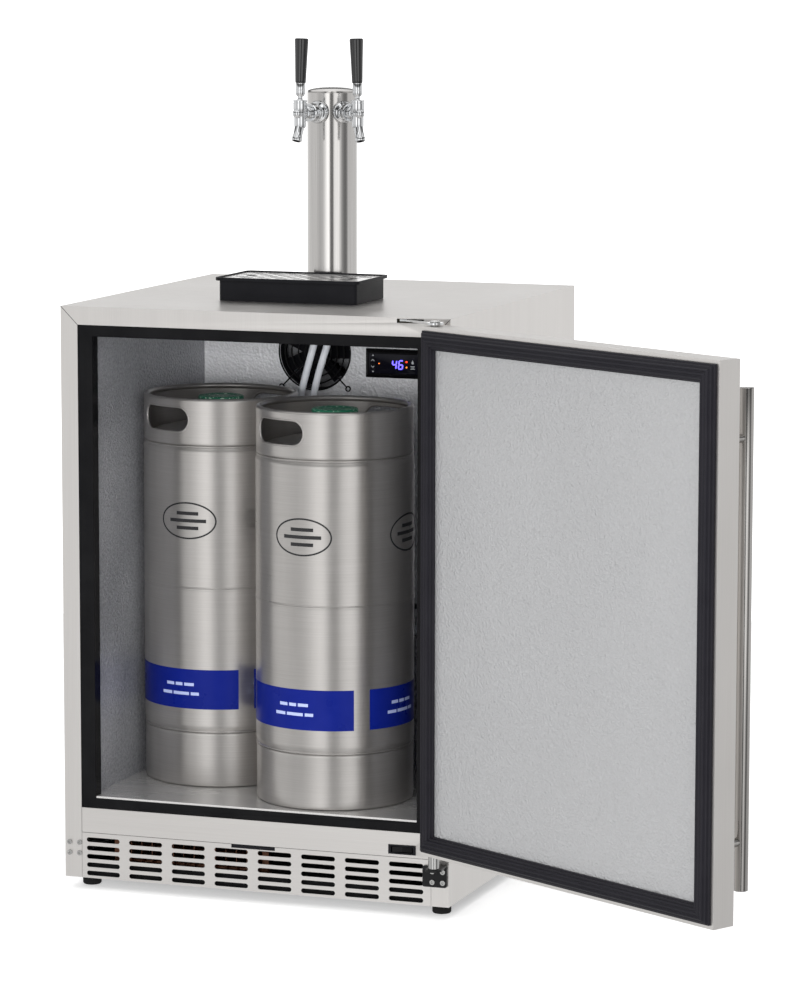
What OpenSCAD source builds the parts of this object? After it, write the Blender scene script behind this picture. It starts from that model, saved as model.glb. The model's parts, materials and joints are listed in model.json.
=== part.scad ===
// Outdoor kegerator: an undercounter refrigerated cabinet with its door standing open,
// two slim kegs inside it, and a draft tower with two faucets and a drip tray on its top.
// Millimetres, +Z up. The origin is on the floor, below the middle of the cabinet shell.
// The front faces -Y and the door hinges are at the right, +X.

/* [Cabinet] */
// Width of the cabinet shell
body_w = 606; // [602:1:620]
// Depth of the cabinet shell, without the door
body_d = 594; // [590:2:620]
// Height of the cabinet shell, without its feet
body_h = 856; // [854:1:870]
// Height of the base above the floor
foot_h = 18; // [14:1:26]
// Thickness of the stainless sheet
sheet_t = 1.5; // [1:0.1:1.8]
// Width of the front flanges around the mouth
flange_w = 27; // [25:1:29]

/* [Mouth] */
// Clear width between the side bars of the bezel
mouth_w = 506; // [500:2:508]
// Height of the sill above the base
mouth_low = 122; // [120:1:123]
// Height of the head above the base
mouth_high = 812; // [806:1:814]
// Depth of the black bezel behind the front face
bezel_d = 22; // [18:1:24]

/* [Cold room] */
// Width between the liner's side walls
room_w = 526; // [520:2:530]
// Height of the keg floor above the base
floor_h = 125; // [124:0.5:127]
// Height of the ceiling above the base
ceiling_h = 816; // [814:1:818]
// Distance from the front face to the fan wall
room_d = 460; // [450:2:470]
// Distance from the front face to the machine step
step_d = 355; // [352:1:360]
// Height of the machine step's shelf above the base
step_h = 330; // [300:5:340]

/* [Door] */
// Width of the door
door_w = 600; // [596:1:602]
// Thickness of the door without its gasket
door_t = 38; // [36:1:42]
// Height of the door's lower edge above the base
door_low = 85; // [84:1:88]
// Height of the door's upper edge above the base
door_high = 849; // [840:1:849]
// Gap that the gasket fills between the closed door and the front face
door_gap = 12; // [11.5:0.5:14]
// Angle that the door stands open
door_open = 150; // [0:5:160]
// Length of the tubular handle
handle_l = 685; // [500:5:700]

/* [Draft tower] */
// Radius of the column
tower_r = 38; // [36:1:40]
// Height of the column above the cabinet's top
tower_h = 304; // [290:2:360]
// Height of the faucet shanks above the cabinet's top
tap_h = 275; // [240:1:280]
// Turn of the tower about its own axis
tower_turn = 17; // [0:1:20]
// Angle of each faucet to the tower's own front
tap_splay = 28; // [26:1:40]
// Distance from the column's axis to the faucet bodies
tap_reach = 92; // [90:1:96]
// Backward lean of the closed levers
lever_lean = 3; // [0:1:4]

/* [Drip tray] */
// Width of the tray's rim
tray_w = 228; // [200:2:240]
// Depth of the tray's rim
tray_d = 136; // [110:2:138]
// Height of the tray
tray_h = 35; // [28:1:40]

/* [Kegs] */
// Outer radius of a keg
keg_r = 117.5; // [112:0.5:118]
// Height of a keg
keg_h = 587; // [560:1:590]

/* [Hidden] */
$fn = 96;

STEEL = [0.80, 0.79, 0.77];
BRIGHT = [0.86, 0.87, 0.88];
ALUMINIUM = [0.72, 0.73, 0.75];
BLACK = [0.05, 0.05, 0.06];
CHARCOAL = [0.16, 0.16, 0.18];
FOAM = [0.93, 0.88, 0.68];
GREEN = [0.05, 0.42, 0.26];
COPPER = [0.72, 0.45, 0.32];
HOSE = [0.62, 0.65, 0.68];

// shell
front_y = -body_d / 2;
back_y = body_d / 2;
side_x = body_w / 2;
base_z = foot_h;
top_z = foot_h + body_h;
flange_x = side_x - flange_w;
sill_z = base_z + mouth_low;
head_z = base_z + mouth_high;
bezel_low_z = base_z + 107;
bezel_top_z = top_z - flange_w;
eps = 0.1;

// cold room
plate_t = 2;
liner_t = 1.5;
liner_front = front_y + bezel_d + 0.5;
liner_floor = base_z + floor_h - plate_t;
step_y = front_y + step_d;
step_z = base_z + step_h;
cover_y = front_y + room_d;
chamber_d = 72;
wall_y = cover_y + chamber_d;
ceiling_z = base_z + ceiling_h;
foam_t = 40;

// evaporator fan in the fan wall
fan_x = -77;
fan_z = base_z + 751;
fan_r = 58;
fan_pitch = 105;

// controller on the fan wall
ctrl_x = 62;
ctrl_z = base_z + 738.5;
ctrl_w = 105;
ctrl_h = 45;
ctrl_t = 12;
ctrl_front = cover_y - ctrl_t;
button_x = ctrl_x - 39;
button_pitch = 9;

// toe grille and rail
rail_low = base_z + 69;
rail_high = bezel_low_z - 0.3;
slot_l = 53;
slot_w = 7;
slot_pitch_x = 68.4;
slot_pitch_z = 12.7;
switch_x = 231;
switch_z = base_z + 80.5;
clip_x = -1.5;
clip_w = 69;

// door, drawn shut and then swung about the pin
pin_x = side_x - 12.7;
pin_y = front_y - 30.1;
pin_r = 5;
bush_r = 7.5;
running_gap = 0.05;
door_right = side_x - 3;
door_left = door_right - door_w;
door_in = front_y - door_gap;
door_out = door_in - door_t;
door_z0 = base_z + door_low;
door_z1 = base_z + door_high;
skin_t = 1.2;
handle_x = door_left + 37;
handle_y = door_out - 50;
handle_z = base_z + 462;
post_pitch = 549;

// hinge screws, a square of four on each post
screw_pitch = 16;
screw_x = side_x - 15.5;
screw_z = base_z + 45.2;
bracket_t = 4.5;
bracket_h = 31;
arm_z = screw_z + bracket_h / 2 + 2.5;
arm_t = 3.4;

// tower
tower_x = -8;
tower_y = front_y + 352;
tower_bore = 34;
tap_z = top_z + tap_h;
spout_tilt = 22;
spout_l = 27;
lever_z = 16;
screw_pcd = 90;

// tray
tray_y = front_y + 222;

// kegs
keg_z = base_z + floor_h + 0.3;
keg_front = [79, front_y + 130, keg_z];
keg_rear = [-142, front_y + 230, keg_z];
keg_turn = -27;
top_seam = 518;
low_seam = 82;
rim_r = 4;

// feet
foot_x = 278;
foot_y = 255;

// beer lines
hose_r = 5.5;
HOSE_LEFT = [
    [-34, 55, 831], [-34, 55, 812], [-38, 56, 794], [-45, 58, 772], [-54, 61, 744],
    [-63, 64, 712], [-70, 68, 676], [-75, 73, 632], [-77, 78, 580], [-78, 83, 525],
    [-78, 88, 470], [-77, 92, 430], [-71, 95, 397], [-57, 97, 372], [-36, 98, 358],
    [-8, 98, 354], [30, 98, 353.7], [72, 99, 353.7], [114, 102, 353.7], [152, 103, 353.9],
    [184, 102, 356], [206, 101, 359.2]
];
HOSE_RIGHT = [
    [-13, 55, 831], [-13, 55, 814], [-16, 56, 796], [-23, 57, 774], [-32, 58, 746],
    [-41, 60, 712], [-48, 62, 676], [-53, 65, 632], [-55, 67, 580], [-56, 69, 525],
    [-56, 70, 470], [-54, 71, 430], [-47, 72, 397], [-33, 73, 372], [-12, 73, 358],
    [16, 73, 354], [54, 73, 353.7], [94, 72, 353.7], [132, 70, 353.7], [164, 69, 354],
    [192, 69, 356], [214, 69, 359.2]
];

// ---------------------------------------------------------------- shared shapes

module box(lo, hi) {
    translate(lo) cube(hi - lo);
}

// A rectangular frame in the XZ plane, with bars of the given width
module frame(lo, hi, bar) {
    difference() {
        box(lo, hi);
        box([lo.x + bar, lo.y - 1, lo.z + bar], [hi.x - bar, hi.y + 1, hi.z - bar]);
    }
}

module rounded_rect(w, h, r) {
    square([w - 2 * r, h], center = true);
    square([w, h - 2 * r], center = true);
    for (sx = [-1, 1], sy = [-1, 1]) {
        translate([sx * (w / 2 - r), sy * (h / 2 - r)]) circle(r = r, $fn = 48);
    }
}

// A slot with round ends, lying along X in the XY plane
module slot_outline(l, w) {
    square([l - w, w], center = true);
    for (s = [-1, 1]) {
        translate([s * (l - w) / 2, 0]) circle(d = w, $fn = 32);
    }
}

// Stands an outline in the XZ plane, from y towards +Y
module stand_y(y, t) {
    translate([0, y + t, 0]) rotate([90, 0, 0]) linear_extrude(height = t) children();
}

module rod_y(r, y0, y1) {
    translate([0, y0, 0]) rotate([-90, 0, 0]) cylinder(r = r, h = y1 - y0);
}

module rod_x(r, x0, x1, sides = 96) {
    translate([x0, 0, 0]) rotate([0, 90, 0]) cylinder(r = r, h = x1 - x0, $fn = sides);
}

// Extrudes an outline of [y, z] points along X, centred on x = 0
module along_x(w, outline) {
    translate([-w / 2, 0, 0]) rotate([90, 0, 90]) linear_extrude(height = w) polygon(outline);
}

// A flat ring standing in the XZ plane, centred on y = 0
module flat_ring(r, wire) {
    difference() {
        rod_y(r + wire, -wire, wire);
        rod_y(r - wire, -wire - 1, wire + 1);
    }
}

// ---------------------------------------------------------------- cabinet shell

module outer_wrap() {
    color(STEEL) difference() {
        box([-side_x, front_y, base_z], [side_x, back_y - sheet_t, top_z]);
        box([-side_x + sheet_t, front_y + sheet_t, base_z - 1],
            [side_x - sheet_t, back_y, top_z - sheet_t]);
        box([-flange_x, front_y - 1, base_z - 1], [flange_x, front_y + 2, bezel_top_z]);
        translate([tower_x, tower_y, top_z - 5]) cylinder(r = tower_bore, h = 10);
        tower_screw_places(top_z - 5) cylinder(r = 2.6, h = 10);
        for (s = [-1, 1]) {
            hinge_screw_places(s, front_y - 1) rod_y(2.1, 0, 4);
        }
        box([222, front_y - 1, top_z - 7.5], [263, front_y + 2, top_z - sheet_t]);
    }
}

module back_panel() {
    vent_l = 90;
    color(STEEL) difference() {
        box([-side_x, back_y - sheet_t, base_z], [side_x, back_y, top_z]);
        for (i = [0:7], s = [-1, 1]) {
            translate([s * 62 - 100, 0, base_z + 60 + i * 16])
                stand_y(back_y - 3, 6) slot_outline(vent_l, 5);
        }
        box([176, back_y - 3, base_z + 46], [224, back_y + 1, base_z + 74]);
    }
}

module base_pan() {
    rim = 20;
    color(STEEL) difference() {
        box([-side_x + 2, front_y + 12, base_z], [side_x - 2, back_y - 2, base_z + rim]);
        box([-side_x + 3.5, front_y + 13.5, base_z + sheet_t],
            [side_x - 3.5, back_y - 3.5, base_z + rim + 1]);
        for (sx = [-1, 1], sy = [-1, 1]) {
            translate([sx * foot_x, sy * foot_y, base_z - 1])
                cylinder(r = 4 + running_gap, h = 5);
        }
    }
}

// Outline of the cold room in [y, z], grown outwards by t and cut off at the front y
function room_outline(t, y) = [
    [y, liner_floor - t], [step_y + t, liner_floor - t], [step_y + t, step_z - t],
    [wall_y + t, step_z - t], [wall_y + t, ceiling_z + t], [y, ceiling_z + t]
];

module inner_liner() {
    color(ALUMINIUM) difference() {
        along_x(room_w + 2 * liner_t, room_outline(liner_t, liner_front));
        along_x(room_w, room_outline(0, liner_front - 1));
        translate([tower_x, tower_y, ceiling_z - 1]) cylinder(r = tower_bore, h = 5);
    }
}

module foam_insulation() {
    under = liner_floor - foam_t;
    behind = step_y + foam_t;
    low = step_z - foam_t;
    rear = back_y - sheet_t - eps;
    over = top_z - sheet_t - eps;
    outline = [
        [liner_front, under], [behind, under], [behind, low], [rear, low],
        [rear, over], [liner_front, over]
    ];
    color(FOAM) difference() {
        along_x(body_w - 2 * sheet_t - 2 * eps, outline);
        along_x(room_w + 2 * liner_t + 2 * eps, room_outline(liner_t + eps, liner_front - 1));
        translate([tower_x, tower_y, ceiling_z - 5]) cylinder(r = tower_bore + 1, h = 60);
        tower_screw_places(top_z - 20) cylinder(r = 3, h = 30);
        box([225, front_y, top_z - 7], [260, front_y + 62, top_z]);
    }
}

module breaker_frame() {
    color(BLACK) difference() {
        box([-flange_x + 0.2, front_y + 0.6, bezel_low_z],
            [flange_x - 0.2, front_y + bezel_d, bezel_top_z - 0.2]);
        box([-mouth_w / 2, front_y - 1, sill_z], [mouth_w / 2, front_y + bezel_d + 1, head_z]);
    }
}

module floor_plate() {
    top = base_z + floor_h;
    color(BRIGHT) {
        box([-room_w / 2 + 0.3, liner_front - 0.3, liner_floor + 0.05],
            [room_w / 2 - 0.3, step_y - 0.3, top]);
        box([-mouth_w / 2 + 0.3, front_y + 2, sill_z + 0.05],
            [mouth_w / 2 - 0.3, liner_front, top]);
    }
}

module evaporator_cover() {
    low = step_z + 0.2;
    high = ceiling_z - 0.2;
    color(ALUMINIUM) difference() {
        box([-room_w / 2 + 0.3, cover_y, low], [room_w / 2 - 0.3, cover_y + sheet_t, high]);
        translate([fan_x, 0, fan_z]) rod_y(fan_r, cover_y - 1, cover_y + 3);
        for (i = [-3:3]) {
            translate([i * 70, 0, step_z + 30]) stand_y(cover_y - 1, 4) slot_outline(52, 9);
        }
    }
}

// A finned coil: plates across X threaded on tubes, with a bend block at each end
module finned_coil(w, d, h, fins, tubes) {
    for (i = [0:fins - 1]) {
        translate([-w / 2 + i * w / (fins - 1), 0, h / 2]) cube([1.2, d, h], center = true);
    }
    for (i = [0:tubes - 1]) {
        translate([0, 0, h * (i + 0.5) / tubes]) rod_x(4.5, -w / 2 - 8, w / 2 + 8, 32);
    }
    for (s = [-1, 1]) {
        translate([s * (w / 2 + 9), 0, h / 2]) cube([10, 12, h - 12], center = true);
    }
}

module evaporator_coil() {
    color(ALUMINIUM) translate([0, wall_y - 26, step_z + 70]) finned_coil(330, 34, 190, 16, 5);
}

// ---------------------------------------------------------------- front, below the mouth

module lower_rail() {
    return_d = 20;
    color(STEEL) difference() {
        union() {
            box([-flange_x + 0.4, front_y, rail_low + 0.3],
                [flange_x - 0.4, front_y + sheet_t, rail_high]);
            for (z = [rail_low + 0.3, rail_high - sheet_t]) {
                box([-flange_x + 0.4, front_y, z],
                    [flange_x - 0.4, front_y + return_d, z + sheet_t]);
            }
        }
        box([switch_x - 19, front_y - 1, switch_z - 6], [switch_x + 19, front_y + 3, switch_z + 6]);
    }
}

module toe_grille() {
    color(STEEL) difference() {
        union() {
            box([-flange_x + 0.4, front_y, base_z],
                [flange_x - 0.4, front_y + sheet_t, rail_low - 0.3]);
            box([-flange_x + 0.4, front_y, base_z],
                [flange_x - 0.4, front_y + 11, base_z + sheet_t]);
        }
        for (i = [0:7], j = [0:4]) {
            translate([(i - 3.5) * slot_pitch_x - 2, 0, base_z + 7.5 + j * slot_pitch_z])
                stand_y(front_y - 1, 4) slot_outline(slot_l, slot_w);
        }
        box([clip_x - clip_w / 2, front_y - 1, rail_low - 5.5],
            [clip_x + clip_w / 2, front_y + 3, rail_low]);
    }
}

module grille_clip() {
    low = rail_low - 5.5;
    color(BLACK) {
        box([clip_x - clip_w / 2, front_y + 1.7, low - 3],
            [clip_x + clip_w / 2, front_y + 12, rail_low + 0.2]);
        box([clip_x + 6, front_y + 0.2, low + 1], [clip_x + 28, front_y + 1.8, low + 4]);
    }
}

module switch_bezel() {
    color(BLACK) difference() {
        union() {
            box([switch_x - 21, front_y - 1.2, switch_z - 7],
                [switch_x + 21, front_y - 0.05, switch_z + 7]);
            box([switch_x - 18.8, front_y - 0.1, switch_z - 5.8],
                [switch_x + 18.8, front_y + 17, switch_z + 5.8]);
        }
        box([switch_x - 17, front_y - 2, switch_z - 4.6],
            [switch_x + 17, front_y + 15, switch_z + 4.6]);
    }
}

module switch_rocker() {
    outline = [[-15, -3], [0, -1], [15, -3], [15, 4], [4, 7], [-4, 7], [-15, 4]];
    color(CHARCOAL) translate([switch_x, front_y + 2.5, switch_z]) rotate([0, 0, 5])
        translate([0, 0, -4]) linear_extrude(height = 8) polygon(outline);
}

// ---------------------------------------------------------------- hinges

// Places its children at the square of four hinge screws on one front post
module hinge_screw_places(side, y) {
    for (sx = [-1, 1], sz = [-1, 1]) {
        translate([side * screw_x + sx * screw_pitch / 2, y, screw_z + sz * screw_pitch / 2])
            children();
    }
}

module tower_screw_places(z) {
    for (i = [0:3]) {
        translate([tower_x, tower_y, z]) rotate([0, 0, tower_turn + 45 + i * 90])
            translate([screw_pcd / 2, 0, 0]) children();
    }
}

module lower_hinge() {
    plate_w = 37;
    color(BLACK) difference() {
        union() {
            translate([screw_x - 5, 0, screw_z])
                stand_y(front_y - bracket_t, bracket_t - 0.1) rounded_rect(plate_w, bracket_h, 3);
            translate([0, 0, arm_z - arm_t]) linear_extrude(height = arm_t) {
                polygon([[screw_x - 10, front_y - 1], [screw_x + 12, front_y - 1],
                         [pin_x + 12, pin_y], [pin_x - 12, pin_y]]);
                translate([pin_x, pin_y]) circle(r = 12);
            }
        }
        translate([pin_x, pin_y, arm_z - 6]) cylinder(r = pin_r, h = 8);
        hinge_screw_places(1, front_y - 8) rod_y(2.1, 0, 12);
    }
}

module upper_hinge() {
    plate_z = top_z - 5;
    color(BRIGHT) difference() {
        union() {
            box([227, front_y - 2, plate_z], [258, front_y + 60, plate_z + 3]);
            translate([0, 0, plate_z]) linear_extrude(height = 3) polygon([
                [228, front_y + 4], [257, front_y + 4], [pin_x + 6, pin_y + 9],
                [pin_x - 6, pin_y - 9]
            ]);
            translate([pin_x, pin_y, plate_z]) cylinder(r = 12, h = 3);
        }
        translate([pin_x, pin_y, plate_z - 1]) cylinder(r = pin_r, h = 6);
    }
}

// Both pins stand on the door's axis: a shouldered one below and a headed one above
module hinge_pins() {
    color(BRIGHT) translate([pin_x, pin_y, 0]) {
        translate([0, 0, arm_z - arm_t]) cylinder(r = pin_r, h = door_z0 + 15 - arm_z + arm_t);
        translate([0, 0, arm_z]) cylinder(r = 8, h = door_z0 - 0.5 - arm_z);
        translate([0, 0, door_z1 - 15]) cylinder(r = pin_r, h = top_z - 2 - door_z1 + 15);
        translate([0, 0, top_z - 2]) cylinder(r = 7.5, h = 2);
    }
}

// A screw along +Z whose head stands on z = 0
module pan_screw(l) {
    difference() {
        union() {
            cylinder(r = 3.9, h = 2.2, $fn = 48);
            translate([0, 0, -l]) cylinder(r = 2, h = l, $fn = 48);
        }
        translate([0, 0, 0.8]) cylinder(r = 1.6, h = 3, $fn = 6);
    }
}

module pan_screws() {
    color(BRIGHT) {
        hinge_screw_places(1, front_y - bracket_t - 0.05) rotate([90, 0, 0]) pan_screw(7);
        hinge_screw_places(-1, front_y - 0.05) rotate([90, 0, 0]) pan_screw(7);
        tower_screw_places(top_z + 6) pan_screw(12);
    }
}

// ---------------------------------------------------------------- machine room

// Half outline of the compressor's casing, drawn in by t
function casing_outline(shell_r, t) = [
    [0, t], [shell_r - 18 - t / 2, t], [shell_r - t, 18 + t / 2], [shell_r - t, 120 - t / 4],
    [shell_r - 12 - t * 0.8, 142 - t * 0.6], [shell_r - 36 - t / 2, 154 - t], [0, 158 - t]
];

module compressor() {
    shell_r = 74;
    casing_t = 12;
    color(BLACK) translate([120, 200, base_z]) {
        translate([0, 0, 24]) difference() {
            rotate_extrude() polygon(casing_outline(shell_r, 0));
            rotate_extrude() polygon(casing_outline(shell_r, casing_t));
        }
        translate([0, 0, 94]) difference() {
            cylinder(r = shell_r + 3, h = 6);
            translate([0, 0, -1]) cylinder(r = shell_r - casing_t / 2, h = 8);
        }
        difference() {
            box([-88, -72, 16], [88, 72, 20]);
            for (sx = [-1, 1], sy = [-1, 1]) {
                translate([sx * 78, sy * 62, 10]) cylinder(r = 5, h = 20);
            }
        }
        translate([0, 0, 19]) cylinder(r = 50, h = 6);
        for (sx = [-1, 1], sy = [-1, 1]) {
            translate([sx * 78, sy * 62, 2]) difference() {
                cylinder(r = 9, h = 14);
                translate([0, 0, -1]) cylinder(r = 3, h = 16);
            }
        }
        box([-100, -22, 70], [-70, 22, 118]);
        translate([40, 0, 170]) cylinder(r = 4, h = 40);
    }
}

module condenser_coil() {
    color(COPPER) translate([-120, front_y + 55, base_z + 8]) finned_coil(220, 30, 66, 14, 3);
}

// A square axial fan: a frame with a round bore, and a motor hub on four arms at its back
module fan_frame(size, bore, d) {
    difference() {
        stand_y(0, d) rounded_rect(size, size, 5);
        rod_y(bore, -1, d + 1);
        for (sx = [-1, 1], sz = [-1, 1]) {
            translate([sx * size * 0.4375, 0, sz * size * 0.4375]) rod_y(2.2, -1, d + 1);
        }
    }
    rod_y(bore * 0.33, d - 5, d);
    for (a = [45, 135]) {
        rotate([0, a, 0]) box([-bore - 1, d - 4, -2.5], [bore + 1, d, 2.5]);
    }
    rod_y(3, 6, d - 4);
}

module fan_rotor(r, hub, y0, y1) {
    difference() {
        union() {
            rod_y(hub, y0, y1);
            for (i = [0:6]) {
                rotate([0, i * 360 / 7, 0]) translate([hub - 2, (y0 + y1) / 2, 0])
                    rotate([35, 0, 0]) translate([0, -0.9, -hub * 0.62])
                        cube([r - hub, 1.8, hub * 1.24]);
            }
        }
        rod_y(3 + running_gap, y0 + 2, y1 + 1);
    }
}

module condenser_fan_frame() {
    color(BLACK) translate([-120, front_y + 76, base_z + 42]) fan_frame(74, 34, 24);
}

module condenser_fan_rotor() {
    color(CHARCOAL) translate([-120, front_y + 76, base_z + 42]) fan_rotor(33, 12, 3, 18);
}

module power_inlet() {
    color(BLACK) translate([200, back_y, base_z + 60]) difference() {
        union() {
            box([-28, 0.05, -18], [28, 2.5, 18]);
            box([-23.5, -26, -13.5], [23.5, 0.1, 13.5]);
        }
        difference() {
            box([-12.5, -16, -8.5], [12.5, 4, 8.5]);
            for (x = [-7, 0, 7]) {
                box([x - 1, -17, -2.5 + (x == 0 ? 2.5 : 0)], [x + 1, -3, 2.5 + (x == 0 ? 2.5 : 0)]);
            }
        }
    }
}

// ---------------------------------------------------------------- on the fan wall

module evaporator_fan_frame() {
    color(BLACK) translate([fan_x, cover_y + sheet_t + 0.1, fan_z]) fan_frame(120, 57, 26);
}

module evaporator_fan_rotor() {
    color(CHARCOAL) translate([fan_x, cover_y + sheet_t + 0.1, fan_z]) fan_rotor(55, 20, 3, 20);
}

module evaporator_fan_guard() {
    wire = 1.2;
    reach = fan_pitch / sqrt(2);
    color(BLACK) translate([fan_x, cover_y - 2.4, fan_z]) {
        for (r = [16, 27, 38, 49, 59]) {
            flat_ring(r, wire);
        }
        for (a = [45, 135]) {
            rotate([0, a, 0]) box([-reach + 3, -0.7, -wire], [reach - 3, 1.8, wire]);
        }
        for (sx = [-1, 1], sz = [-1, 1]) {
            translate([sx * fan_pitch / 2, 0, sz * fan_pitch / 2]) difference() {
                rod_y(5, -0.8, 2.2);
                rod_y(2.3, -2, 3);
            }
        }
    }
}

module controller_housing() {
    half = ctrl_w / 2;
    bevel = 5;
    color(BLACK) translate([ctrl_x, ctrl_front, ctrl_z]) difference() {
        intersection() {
            translate([0, 0, -ctrl_h]) linear_extrude(height = 2 * ctrl_h) polygon([
                [-half, ctrl_t - 0.1], [-half, bevel], [-half + bevel, 0],
                [half - bevel, 0], [half, bevel], [half, ctrl_t - 0.1]
            ]);
            along_x(2 * ctrl_w, [
                [ctrl_t - 0.1, -ctrl_h / 2], [bevel, -ctrl_h / 2], [0, -ctrl_h / 2 + bevel],
                [0, ctrl_h / 2 - bevel], [bevel, ctrl_h / 2], [ctrl_t - 0.1, ctrl_h / 2]
            ]);
        }
        box([-half + 7, -1, -ctrl_h / 2 + 7], [half - 7, 2, ctrl_h / 2 - 7]);
        for (s = [-1, 1]) {
            translate([button_x - ctrl_x, 0, s * button_pitch / 2])
                box([-4.4, 0, -3.9], [4.4, 6, 3.9]);
        }
    }
}

module controller_lens() {
    half = ctrl_w / 2;
    color(CHARCOAL) translate([ctrl_x, ctrl_front, ctrl_z]) difference() {
        box([-half + 7.2, 0.6, -ctrl_h / 2 + 7.2], [half - 7.2, 1.9, ctrl_h / 2 - 7.2]);
        for (s = [-1, 1]) {
            translate([button_x - ctrl_x, 0, s * button_pitch / 2])
                box([-4.4, -1, -3.9], [4.4, 3, 3.9]);
        }
    }
}

module button(s) {
    color(CHARCOAL) translate([button_x, ctrl_front - 0.4, ctrl_z + s * button_pitch / 2 - 3.5])
        translate([-4, 0, 0]) cube([8, 4.4, 7]);
}

module button_up() {
    button(1);
}

module button_down() {
    button(-1);
}

// ---------------------------------------------------------------- feet

// A round rubber-shod foot on an M8 stem
module levelling_foot(sx, sy) {
    color(BLACK) translate([sx * foot_x, sy * foot_y, 0]) {
        rotate_extrude() polygon([
            [0, 0], [12.5, 0], [14, 2], [14, 10], [12, 12.5], [8, 13], [8, foot_h - 0.5],
            [4, foot_h - 0.5], [4, foot_h + 14], [0, foot_h + 14]
        ]);
    }
}

module foot_front_left() {
    levelling_foot(-1, -1);
}

module foot_front_right() {
    levelling_foot(1, -1);
}

module foot_rear_left() {
    levelling_foot(-1, 1);
}

module foot_rear_right() {
    levelling_foot(1, 1);
}

// ---------------------------------------------------------------- draft tower

// Moves its children to one faucet: local -Y points away from the column
module at_tap(side) {
    translate([tower_x, tower_y, tap_z]) rotate([0, 0, tower_turn + side * tap_splay]) children();
}

module tower_column() {
    wall = 1.5;
    color(BRIGHT) difference() {
        union() {
            translate([tower_x, tower_y, top_z + 0.05]) cylinder(r = tower_r, h = tower_h - 0.05);
            translate([tower_x, tower_y, top_z + 0.05]) cylinder(r = 54, h = 5.95);
        }
        translate([tower_x, tower_y, top_z - 1]) cylinder(r = tower_r - wall, h = tower_h + 2);
        tower_screw_places(top_z - 1) cylinder(r = 2.6, h = 10);
        for (s = [-1, 1]) {
            at_tap(s) rod_y(11.05, -tower_r - 5, 0);
        }
    }
}

module tower_cap() {
    rise = 8;
    dome_r = (tower_r * tower_r + rise * rise) / (2 * rise);
    color(BRIGHT) translate([tower_x, tower_y, top_z + tower_h + 0.05]) {
        intersection() {
            translate([0, 0, rise - dome_r]) sphere(r = dome_r, $fn = 192);
            cylinder(r = tower_r, h = rise + 1);
        }
        translate([0, 0, -12]) difference() {
            cylinder(r = tower_r - 1.6, h = 12);
            translate([0, 0, -1]) cylinder(r = tower_r - 4, h = 12);
        }
    }
}

// A shank with its wall flange, which is cut to the column, and its round coupling nut
module shank(side) {
    color(BRIGHT) difference() {
        union() {
            at_tap(side) {
                rod_y(11, -66, -22);
                rod_y(4, -23, -8);
            }
            difference() {
                at_tap(side) {
                    rod_y(17, -46, -30);
                    rod_y(14.5, -48, -30);
                }
                translate([tower_x, tower_y, top_z + 1]) cylinder(r = tower_r + 0.05, h = tower_h);
            }
            at_tap(side) {
                rod_y(14, -68, -53);
                rod_y(12.5, -53, -50);
            }
        }
        at_tap(side) {
            rod_y(3, -70, 0);
            for (a = [0:45:315]) {
                rotate([0, a, 0]) translate([14.6, 0, 0]) rod_y(1.6, -66, -56);
            }
        }
    }
}

module shank_left() {
    shank(-1);
}

module shank_right() {
    shank(1);
}

// A faucet: level barrel, upright body with a lever socket, front boss and a tapered spout
module faucet(side) {
    color(BRIGHT) at_tap(side) difference() {
        union() {
            rod_y(9.5, -tap_reach - 5, -68.1);
            translate([0, -tap_reach - 7, 0]) sphere(r = 7.4);
            translate([0, -tap_reach, -22]) cylinder(r = 9.2, h = 28);
            translate([0, -tap_reach, 3]) cylinder(r1 = 9.2, r2 = 10.4, h = 3);
            translate([0, -tap_reach, 6]) cylinder(r = 10.4, h = 14);
            spout(8, 7, 0);
            spout_rim();
        }
        translate([0, -tap_reach, 7]) cylinder(r = 7.8, h = 20);
        spout(5.8, 5.8, 1);
    }
}

// Moves its children to the top of the spout, with -Z along it
module at_spout() {
    translate([0, -tap_reach, -16]) rotate([-spout_tilt, 0, 0]) children();
}

module spout(r_top, r_low, over) {
    at_spout() translate([0, 0, -spout_l - over]) cylinder(r1 = r_low, r2 = r_top, h = spout_l + over);
}

module spout_rim() {
    at_spout() translate([0, 0, -spout_l]) cylinder(r = 7.8, h = 5);
}

module faucet_left() {
    faucet(-1);
}

module faucet_right() {
    faucet(1);
}

// Moves its children to the ball of one lever, leaning with it
module at_lever(side) {
    at_tap(side) translate([0, -tap_reach, lever_z]) rotate([-lever_lean, 0, 0]) children();
}

module lever(side) {
    color(BRIGHT) at_lever(side) {
        sphere(r = 6.5);
        cylinder(r = 3.8, h = 20);
        translate([0, 0, 9.5]) cylinder(r1 = 5.2, r2 = 7.3, h = 4);
        translate([0, 0, 13.5]) cylinder(r = 7.3, h = 15.5);
    }
}

module lever_left() {
    lever(-1);
}

module lever_right() {
    lever(1);
}

module tap_handle(side) {
    color(BLACK) at_lever(side) translate([0, 0, 29.05]) {
        cylinder(r1 = 7.9, r2 = 10.4, h = 64);
        translate([0, 0, 64]) cylinder(r1 = 10.4, r2 = 9.2, h = 3);
    }
}

module tap_handle_left() {
    tap_handle(-1);
}

module tap_handle_right() {
    tap_handle(1);
}

// ---------------------------------------------------------------- drip tray

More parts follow.
